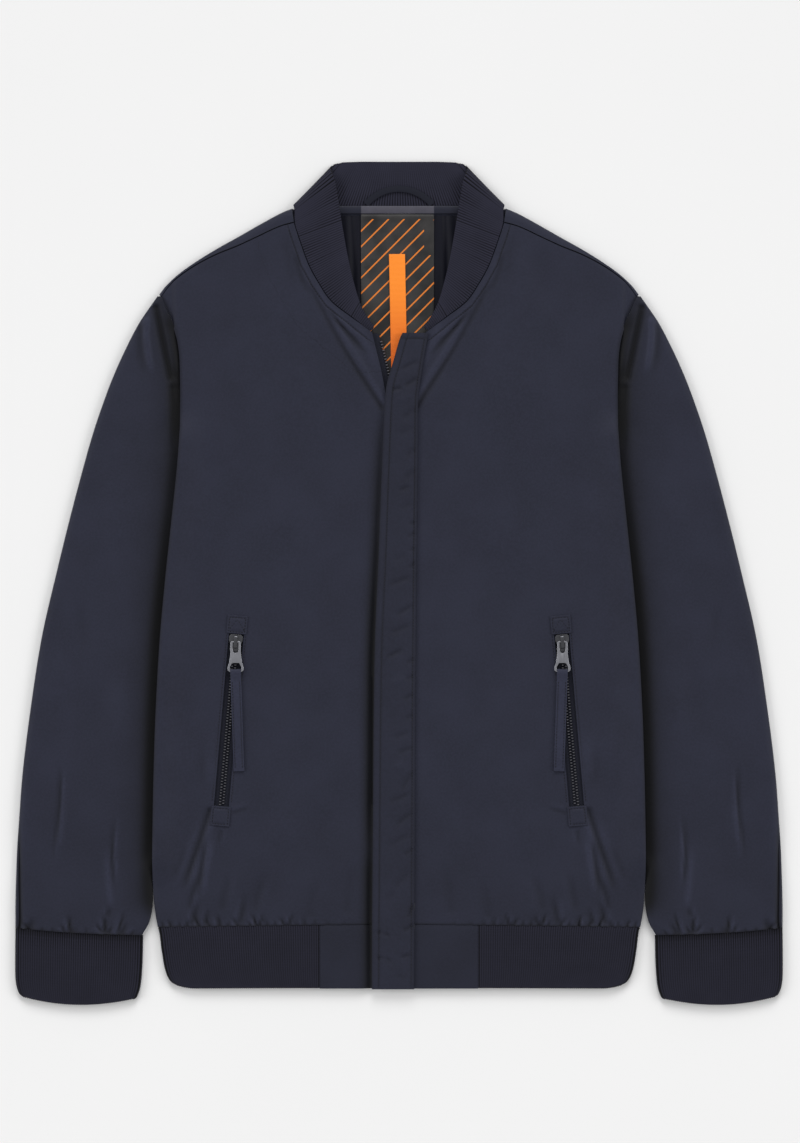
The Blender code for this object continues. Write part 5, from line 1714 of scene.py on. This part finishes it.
def add_stitches(name, seams, length, gap, thick):
    """Topstitching joined into one mesh: each seam is a list of points in millimetres."""
    verts, faces = [], []
    pitch = length + gap
    for seam in seams:
        spans = [math.dist(a, b) for a, b in zip(seam, seam[1:])]
        total = sum(spans)

        def walk(far):
            for index, span in enumerate(spans):
                if far <= span or index == len(spans) - 1:
                    share = min(1.0, far / span)
                    return [a + (b - a) * share for a, b in zip(seam[index], seam[index + 1])]
                far -= span

        for count in range(int(total / pitch)):
            start, end = walk(count * pitch), walk(count * pitch + length)
            reach = math.hypot(end[0] - start[0], end[1] - start[1]) or 1.0
            nx, ny = -(end[1] - start[1]) / reach, (end[0] - start[0]) / reach
            base = len(verts)
            for share, wide, high in STITCH_RINGS:
                cx, cy, cz = (a + (b - a) * share for a, b in zip(start, end))
                for side, rise in STITCH_SECTION:
                    off = side * wide * thick / 2
                    corner = (cx + nx * off, cy + ny * off, cz + (rise + high) * thick / 2)
                    verts.append([value * MM for value in corner])
            for ring in range(3):
                for corner in range(4):
                    after = (corner + 1) % 4
                    a, b = base + ring * 4, base + ring * 4 + 4
                    faces.append((a + corner, a + after, b + after, b + corner))
            faces.append((base + 3, base + 2, base + 1, base))
            faces.append((base + 12, base + 13, base + 14, base + 15))
    obj = add_mesh(name, verts, faces)
    recalculate(obj)
    return obj


def recalculate(obj):
    """Turns a mesh's faces outwards."""
    only(obj)
    bpy.ops.object.mode_set(mode="EDIT")
    bpy.ops.mesh.select_all(action="SELECT")
    bpy.ops.mesh.normals_make_consistent(inside=False)
    bpy.ops.object.mode_set(mode="OBJECT")


def copy_of_node(node, name, rounded):
    """A copy of a CAD node's mesh, merged, with its edges rounded."""
    obj = add_object(name, bpy.data.objects[node].data.copy())
    only(obj)
    bpy.ops.object.mode_set(mode="EDIT")
    bpy.ops.mesh.select_all(action="SELECT")
    bpy.ops.mesh.remove_doubles(threshold=0.000002)
    bpy.ops.mesh.dissolve_limited(angle_limit=math.radians(2))
    bpy.ops.object.mode_set(mode="OBJECT")
    bevel = obj.modifiers.new("edges", "BEVEL")
    bevel.width = rounded * MM
    bevel.segments = 3
    bevel.limit_method = "ANGLE"
    bevel.angle_limit = math.radians(35)
    bevel.use_clamp_overlap = True
    triangulate = obj.modifiers.new("triangles", "TRIANGULATE")
    triangulate.min_vertices = 5
    apply_modifiers(obj)
    only(obj)
    bpy.ops.object.shade_smooth_by_angle(angle=math.radians(40))
    return obj


class JACKET_OT_closure(bpy.types.Operator):
    """Makes the storm flap and the front zip under it"""

    bl_idname = "jacket.closure"
    bl_label = "Front closure"

    def execute(self, context):
        step = sizes().weave_step / MM * 0.7
        flap = thicken(add_grid("storm_flap_cloth", flap_points(step)), FLAP_WALL)
        finish_piece(flap, finish_named("flap_weave"), "jacket", ("storm_flap",))
        for side in (-1, 1):
            name = "zip_tape_" + signed(side)
            tape = thicken(add_grid(name + "_cloth", tape_points(side)), TRIM, 0.25)
            finish_piece(tape, finish_named("herringbone_tape"), "jacket", (name,))
        pitch = sizes().tooth_pitch / MM
        places = []
        for side, column in ((-1, "right_x"), (1, "left_x")):
            shift = 0.0 if side < 0 else pitch / 2
            y = CHAIN_TOP_Y - shift
            while y > CHAIN_BOTTOM_Y:
                edge = curve_through(TAPE["y"], TAPE[column], y)
                lean = math.atan2(curve_through(TAPE["y"], TAPE[column], y - 1.0) - edge, 1.0)
                edge += -side * 0.4 if y > 148.0 else side * 0.6
                places.append(((edge, y, front_level(0.0, y) - CLOTH / 2 - 0.2), lean))
                y -= pitch
        teeth = add_teeth("front_zip_teeth", places, 2.6, pitch * 0.58, 1.5)
        finish_piece(teeth, finish_named("tooth_metal"), "jacket", ("zip_chain",))
        slider = copy_of_node("zip_slider", "front_zip_slider", 0.4)
        finish_piece(slider, finish_named("tooth_metal"), "jacket", ("zip_slider",))
        return {"FINISHED"}


class JACKET_OT_neck(bpy.types.Operator):
    """Makes what shows inside the neck: lining, striped label, ribbon, neck tape and hanger loop"""

    bl_idname = "jacket.neck"
    bl_label = "Inside the neck"

    def execute(self, context):
        pieces = (
            ("neck_lining", lining_points, 0.0, "lining_satin", "lining_cloth"),
            ("neck_label", label_points, 0.3, "label_weave", "label_cloth"),
            ("ribbon", ribbon_points, 0.25, "ribbon_weave", "orange_ribbon"),
            ("neck_tape", neck_tape_points, 0.3, "neck_tape_weave", "tape_cloth"),
            ("hanger_loop", loop_points, 0.25, "herringbone_tape", "tape_cloth"),
        )
        for name, points, rounded, finish, slot in pieces:
            piece = thicken(add_grid(name + "_cloth", points()), TRIM, rounded)
            finish_piece(piece, finish_named(finish), "jacket", (name,))
        return {"FINISHED"}


def patch_rows(side, width, low, high):
    """A small patch lying on a front, its middle a little proud between its stitch rows."""
    rows = []
    top = FRONT_LEVEL + CLOTH / 2 + GAP + TRIM / 2
    for along in spaced(high, low, 0.7):
        line = []
        for across in spaced(-width / 2, width / 2, 0.7):
            inside = min(width / 2 - abs(across), along - low, high - along)
            swell = 0.35 * smooth((inside - 2.2) / 2.0) - 0.25 * math.exp(-(((inside - 1.9) / 0.6) ** 2))
            x, y, z = on_pocket(side, across, along, top + swell)
            line.append((x, y, z))
        rows.append(line)
    return rows


def pocket_tape_points(side):
    """Rows of a pocket's zip tape, raised in a low welt along both sides of its window."""
    length = pocket_length()
    level = FRONT_LEVEL - CLOTH / 2 - LAYER_GAP - TRIM / 2
    rows = []
    for along in spaced(POCKET_TAPE_OVERLAP, -length - POCKET_TAPE_OVERLAP, 1.6):
        line = []
        for across in spaced(-POCKET_TAPE_HALF, POCKET_TAPE_HALF, 0.8):
            welt = 0.5 * math.exp(-((abs(across) - 4.6) / 0.9) ** 2)
            line.append(on_pocket(side, across, along, level + welt - 0.2))
        rows.append(line)
    return rows


def pocket_teeth_places(side, pitch):
    """Places of a pocket's zip teeth, below its slider."""
    length = pocket_length()
    places = []
    for column in (-1, 1):
        along = -SLIDER_LENGTH - 2.0 - (pitch / 2 if column > 0 else 0.0)
        while along > -length + 1.2:
            place = on_pocket(side, column * TOOTH_OFFSET, along, FRONT_LEVEL - CLOTH / 2)
            places.append((place, side * pocket_slant()))
            along -= pitch
    return places


class JACKET_OT_pockets(bpy.types.Operator):
    """Makes both pockets: tape, teeth, slider, puller, strap and patches"""

    bl_idname = "jacket.pockets"
    bl_label = "Pockets"

    def execute(self, context):
        length = pocket_length()
        pitch = sizes().tooth_pitch / MM
        for side in (-1, 1):
            word = signed(side)
            node = "pocket_" + word + "_"
            pull = "pull_" + word
            tape = thicken(add_grid(node + "tape_cloth", pocket_tape_points(side)), TRIM)
            finish_piece(tape, finish_named("herringbone_tape"), "jacket", (node + "tape",))
            teeth = add_teeth(node + "teeth", pocket_teeth_places(side, pitch), 2.3, pitch * 0.52, 1.6)
            finish_piece(teeth, finish_named("tooth_metal"), "jacket", (node + "chain",))
            for piece, width, low, high in (
                ("patch_top", TOP_PATCH[0], GAP, GAP + TOP_PATCH[1]),
                ("patch_bottom", BOTTOM_PATCH[0], -length - GAP - BOTTOM_PATCH[1], -length - GAP),
            ):
                patch = add_grid(node + piece + "_cloth", patch_rows(side, width, low, high))
                patch = thicken(patch, TRIM, 0.35)
                finish_piece(patch, finish_named("shell_weave"), "jacket", (node + piece,))
            slider = copy_of_node(node + "slider", node + "slider_body", 0.35)
            finish_piece(slider, finish_named("slider_metal"), "jacket", (node + "slider",))
            puller = copy_of_node(node + "puller", node + "puller_plate", 0.3)
            finish_piece(puller, finish_named("satin_metal"), pull, (node + "puller",))
            strap = copy_of_node(node + "strap", node + "strap_cloth", 0.5)
            finish_piece(strap, finish_named("strap_weave"), pull, (node + "strap",))
        return {"FINISHED"}


def flap_seams():
    """Stitch rows down both sides of the flap and across its top."""
    rise = CLOTH / 2 + GAP + FLAP_WALL + 0.05
    free_row, seam_row = [], []
    for y in spaced(219.6, -362.0, 3.0):
        level = front_level(0.0, y) + rise
        free = curve_through(FLAP["y"], FLAP["free_x"], y)
        seam = curve_through(FLAP["y"], FLAP["seam_x"], y)
        free_row.append((free + FREE_STITCH_INSET, y, level - STITCH_SINK))
        seam_row.append((seam - SEAM_STITCH_INSET, y, level - STITCH_SINK))
    top_z = front_level(0.0, TOP_STITCH_Y) + rise - STITCH_SINK
    return [free_row, seam_row, [(x, TOP_STITCH_Y, top_z) for x in spaced(7.0, 23.0, 2.0)]]


def neck_seam(side):
    """The stitch row that follows the neck on one front."""
    row = []
    for (ax, ay), (bx, by) in zip(NECK_STITCH, NECK_STITCH[1:]):
        for share in spaced(0.0, 1.0, 0.25)[:-1]:
            x, y = ax + (bx - ax) * share, ay + (by - ay) * share
            row.append((side * x, y, front_height(side * x, y) + CLOTH / 2 - 0.05))
    return row


def pocket_seams(side):
    """Stitch rows beside a pocket's window and round and across its two patches."""
    length = pocket_length()
    top = FRONT_LEVEL + CLOTH / 2 + 0.02
    patch = top + GAP + TRIM
    seams = []
    for across in (-WINDOW_WIDTH / 2 - 1.8, WINDOW_WIDTH / 2 + 1.8):
        places = spaced(-1.0, -length + 1.0, 4.0)
        seams.append([on_pocket(side, across, along, top) for along in places])
    for low, high, wide in (
        (GAP + 1.6, GAP + TOP_PATCH[1] - 1.8, TOP_PATCH[0] / 2 - 1.8),
        (-length - GAP - BOTTOM_PATCH[1] + 1.8, -length - GAP - 1.6, BOTTOM_PATCH[0] / 2 - 1.8),
    ):
        corners = [(-wide, low), (-wide, high), (wide, high), (wide, low), (-wide, low)]
        seams.append([on_pocket(side, a, b, patch - 0.15) for a, b in corners])
    foot = (TOP_PATCH[0] / 2 - 2.4, GAP + 3.4)
    peak = [(-TOP_PATCH[0] / 2 + 2.4, GAP + 3.4), (0.0, GAP + TOP_PATCH[1] - 3.4), foot]
    seams.append([on_pocket(side, a, b, patch + 0.2) for a, b in peak])
    return seams


def strap_seams(side):
    """The two stitch rows along a pocket's strap."""
    tilt = -side * STRAP_TILT
    slant = pocket_slant()
    down = HINGE_OFFSET + SLIDER_INSET
    hinge_x = side * (POCKET_TOP[0] + down * math.sin(slant))
    hinge_y = POCKET_TOP[1] - down * math.cos(slant)
    foot_y = hinge_y - PULLER_LENGTH + BAR / 2
    top = FRONT_LEVEL + CLOTH / 2 + GAP + STRAP_WALL
    runs = []
    for across in (-STRAP_WIDTH / 2 + 1.5, STRAP_WIDTH / 2 - 1.5):
        run = []
        for along in spaced(9.5, STRAP_LENGTH - 1.6, 4.0):
            x = hinge_x + across * math.cos(tilt) + along * math.sin(tilt)
            run.append((x, foot_y + across * math.sin(tilt) - along * math.cos(tilt), top + 0.05))
        runs.append(run)
    return runs


class JACKET_OT_stitching(bpy.types.Operator):
    """Makes the topstitching on the flap, the neck, the pockets and the straps"""

    bl_idname = "jacket.stitching"
    bl_label = "Topstitching"

    def execute(self, context):
        own = sizes()
        thread = own.stitch_length / MM, own.stitch_gap / MM, own.thread / MM
        seams = flap_seams()
        for side in (-1, 1):
            seams += [neck_seam(side), *pocket_seams(side)]
        stitches = add_stitches("topstitching", seams, *thread)
        finish_piece(stitches, finish_named("sewing_thread"), "jacket", ())
        for side in (-1, 1):
            word = signed(side)
            rows = add_stitches("strap_stitching_" + word, strap_seams(side), *thread)
            finish_piece(rows, finish_named("sewing_thread"), "pull_" + word, ())
        return {"FINISHED"}


FLOOR_SIZE = 8.0
SKY_STRENGTH = 0.54
SUNS = (
    ("sun_top", (0.0, 1.0, 0.78), 1.3),
    ("sun_right", (-1.0, 0.15, 0.7), 0.9),
    ("sun_left", (1.0, 0.15, 0.7), 0.9),
)
SUN_ANGLE = math.radians(30.0)
CAMERA_PLACE = (0.0009, 0.01035, 4.006)
CAMERA_LENS = 140.0
CAMERA_REACH = 50.0


class JACKET_OT_stage(bpy.types.Operator):
    """Makes the pale floor, the soft studio light and the camera straight above"""

    bl_idname = "jacket.stage"
    bl_label = "Stage"

    def execute(self, context):
        scene = context.scene
        bpy.ops.object.select_all(action="DESELECT")
        bpy.ops.mesh.primitive_plane_add(size=FLOOR_SIZE, location=(0.0, 0.0, 0.0))
        floor = context.object
        floor.name = "floor"
        paper = Finish("studio_paper", (0.80, 0.80, 0.80), 0.9, specular=0.1)
        soft = paper.noise(3.0, 2.0)
        paper.paint(paper.mix(soft, (0.79, 0.79, 0.79), (0.81, 0.81, 0.81)))
        floor.data.materials.append(paper.material)
        world = scene.world or bpy.data.worlds.new("studio")
        scene.world = world
        world.use_nodes = True
        sky = world.node_tree.nodes["Background"]
        sky.inputs["Color"].default_value = (1.0, 1.0, 1.0, 1.0)
        sky.inputs["Strength"].default_value = SKY_STRENGTH
        for name, direction, power in SUNS:
            data = bpy.data.lights.new(name, "SUN")
            data.energy = power
            data.angle = SUN_ANGLE
            lamp = bpy.data.objects.new(name, data)
            lamp.location = direction
            lamp.rotation_euler = Vector(direction).to_track_quat("Z", "Y").to_euler()
            scene.collection.objects.link(lamp)
        data = bpy.data.cameras.new("camera")
        data.lens = CAMERA_LENS
        data.clip_end = CAMERA_REACH
        camera = bpy.data.objects.new("camera", data)
        camera.location = CAMERA_PLACE
        scene.collection.objects.link(camera)
        scene.camera = camera
        scene.view_settings.view_transform = "Standard"
        return {"FINISHED"}


def size_property(name, description, default):
    """A length in metres that a user may change."""
    return bpy.props.FloatProperty(name=name, description=description, default=default, unit="LENGTH")


class JacketSizes(bpy.types.PropertyGroup):
    """Sizes of the cloth's detail"""

    weave_step: size_property("Fold spacing", "Spacing of the points that carry the cloth's folds", 0.0023)
    rib_pitch: size_property("Rib pitch", "Width of one knitted rib", 0.00207)
    rib_height: size_property("Rib height", "Half the depth of the knit's grooves", 0.00020)
    tooth_pitch: size_property("Tooth pitch", "Spacing of the zip teeth on one side", 0.0026)
    stitch_length: size_property("Stitch length", "Length of one topstitch", 0.0019)
    stitch_gap: size_property("Stitch gap", "Space between two topstitches", 0.0007)
    thread: size_property("Thread", "Thickness of the sewing thread", 0.0006)


def colour_property(name, description, default):
    """A colour that a user may change."""
    return bpy.props.FloatVectorProperty(
        name=name, description=description, default=default, subtype="COLOR", size=3
    )


class JacketColours(bpy.types.PropertyGroup):
    """Colours of the jacket's cloths and trims"""

    shell: colour_property("Shell", "Plain woven outer cloth", (0.0163, 0.0178, 0.0320))
    rib: colour_property("Rib", "Rib knit of collar, cuffs and hem", (0.0056, 0.0056, 0.0094))
    lining: colour_property("Lining", "Lining inside the neck", (0.0052, 0.0055, 0.0105))
    label: colour_property("Label", "Ground of the neck label", (0.0150, 0.0140, 0.0140))
    satin: colour_property("Label fold", "Pale satin fold at the top of the label", (0.062, 0.060, 0.078))
    stripe: colour_property("Stripe", "Stripes of the neck label", (0.66, 0.18, 0.018))
    ribbon: colour_property("Ribbon", "Orange ribbon, upper end", (0.98, 0.275, 0.022))
    ribbon_deep: colour_property("Ribbon end", "Orange ribbon, lower end", (0.72, 0.13, 0.010))
    tape: colour_property("Tape", "Zip tapes and hanger loop", (0.0115, 0.0125, 0.0205))
    teeth: colour_property("Teeth", "Zip teeth", (0.16, 0.16, 0.18))
    metal: colour_property("Metal", "Sliders and pullers", (0.30, 0.305, 0.335))
    thread: colour_property("Thread", "Sewing thread", (0.004, 0.004, 0.008))


class JACKET_PT_panel(bpy.types.Panel):
    """Lists the jacket's pieces, sizes and colours"""

    bl_idname = "JACKET_PT_panel"
    bl_label = "Bomber jacket"
    bl_space_type = "VIEW_3D"
    bl_region_type = "UI"
    bl_category = "Jacket"

    def draw(self, context):
        for operator in OPERATORS:
            self.layout.operator(operator.bl_idname)
        for group in (context.scene.jacket_sizes, context.scene.jacket_colours):
            for name in group.__annotations__:
                self.layout.prop(group, name)


OPERATORS = (
    JACKET_OT_stage,
    JACKET_OT_body,
    JACKET_OT_sleeves,
    JACKET_OT_ribs,
    JACKET_OT_closure,
    JACKET_OT_neck,
    JACKET_OT_pockets,
    JACKET_OT_stitching,
)
CLASSES = (JacketSizes, JacketColours, *OPERATORS, JACKET_PT_panel)


def register():
    for cls in CLASSES:
        bpy.utils.register_class(cls)
    bpy.types.Scene.jacket_sizes = bpy.props.PointerProperty(type=JacketSizes)
    bpy.types.Scene.jacket_colours = bpy.props.PointerProperty(type=JacketColours)


def unregister():
    del bpy.types.Scene.jacket_colours
    del bpy.types.Scene.jacket_sizes
    for cls in reversed(CLASSES):
        bpy.utils.unregister_class(cls)


def main():
    """Makes the whole jacket."""
    register()
    bpy.ops.jacket.stage()
    bpy.ops.jacket.body()
    bpy.ops.jacket.sleeves()
    bpy.ops.jacket.ribs()
    bpy.ops.jacket.closure()
    bpy.ops.jacket.neck()
    bpy.ops.jacket.pockets()
    bpy.ops.jacket.stitching()


if __name__ == "__main__":
    main()
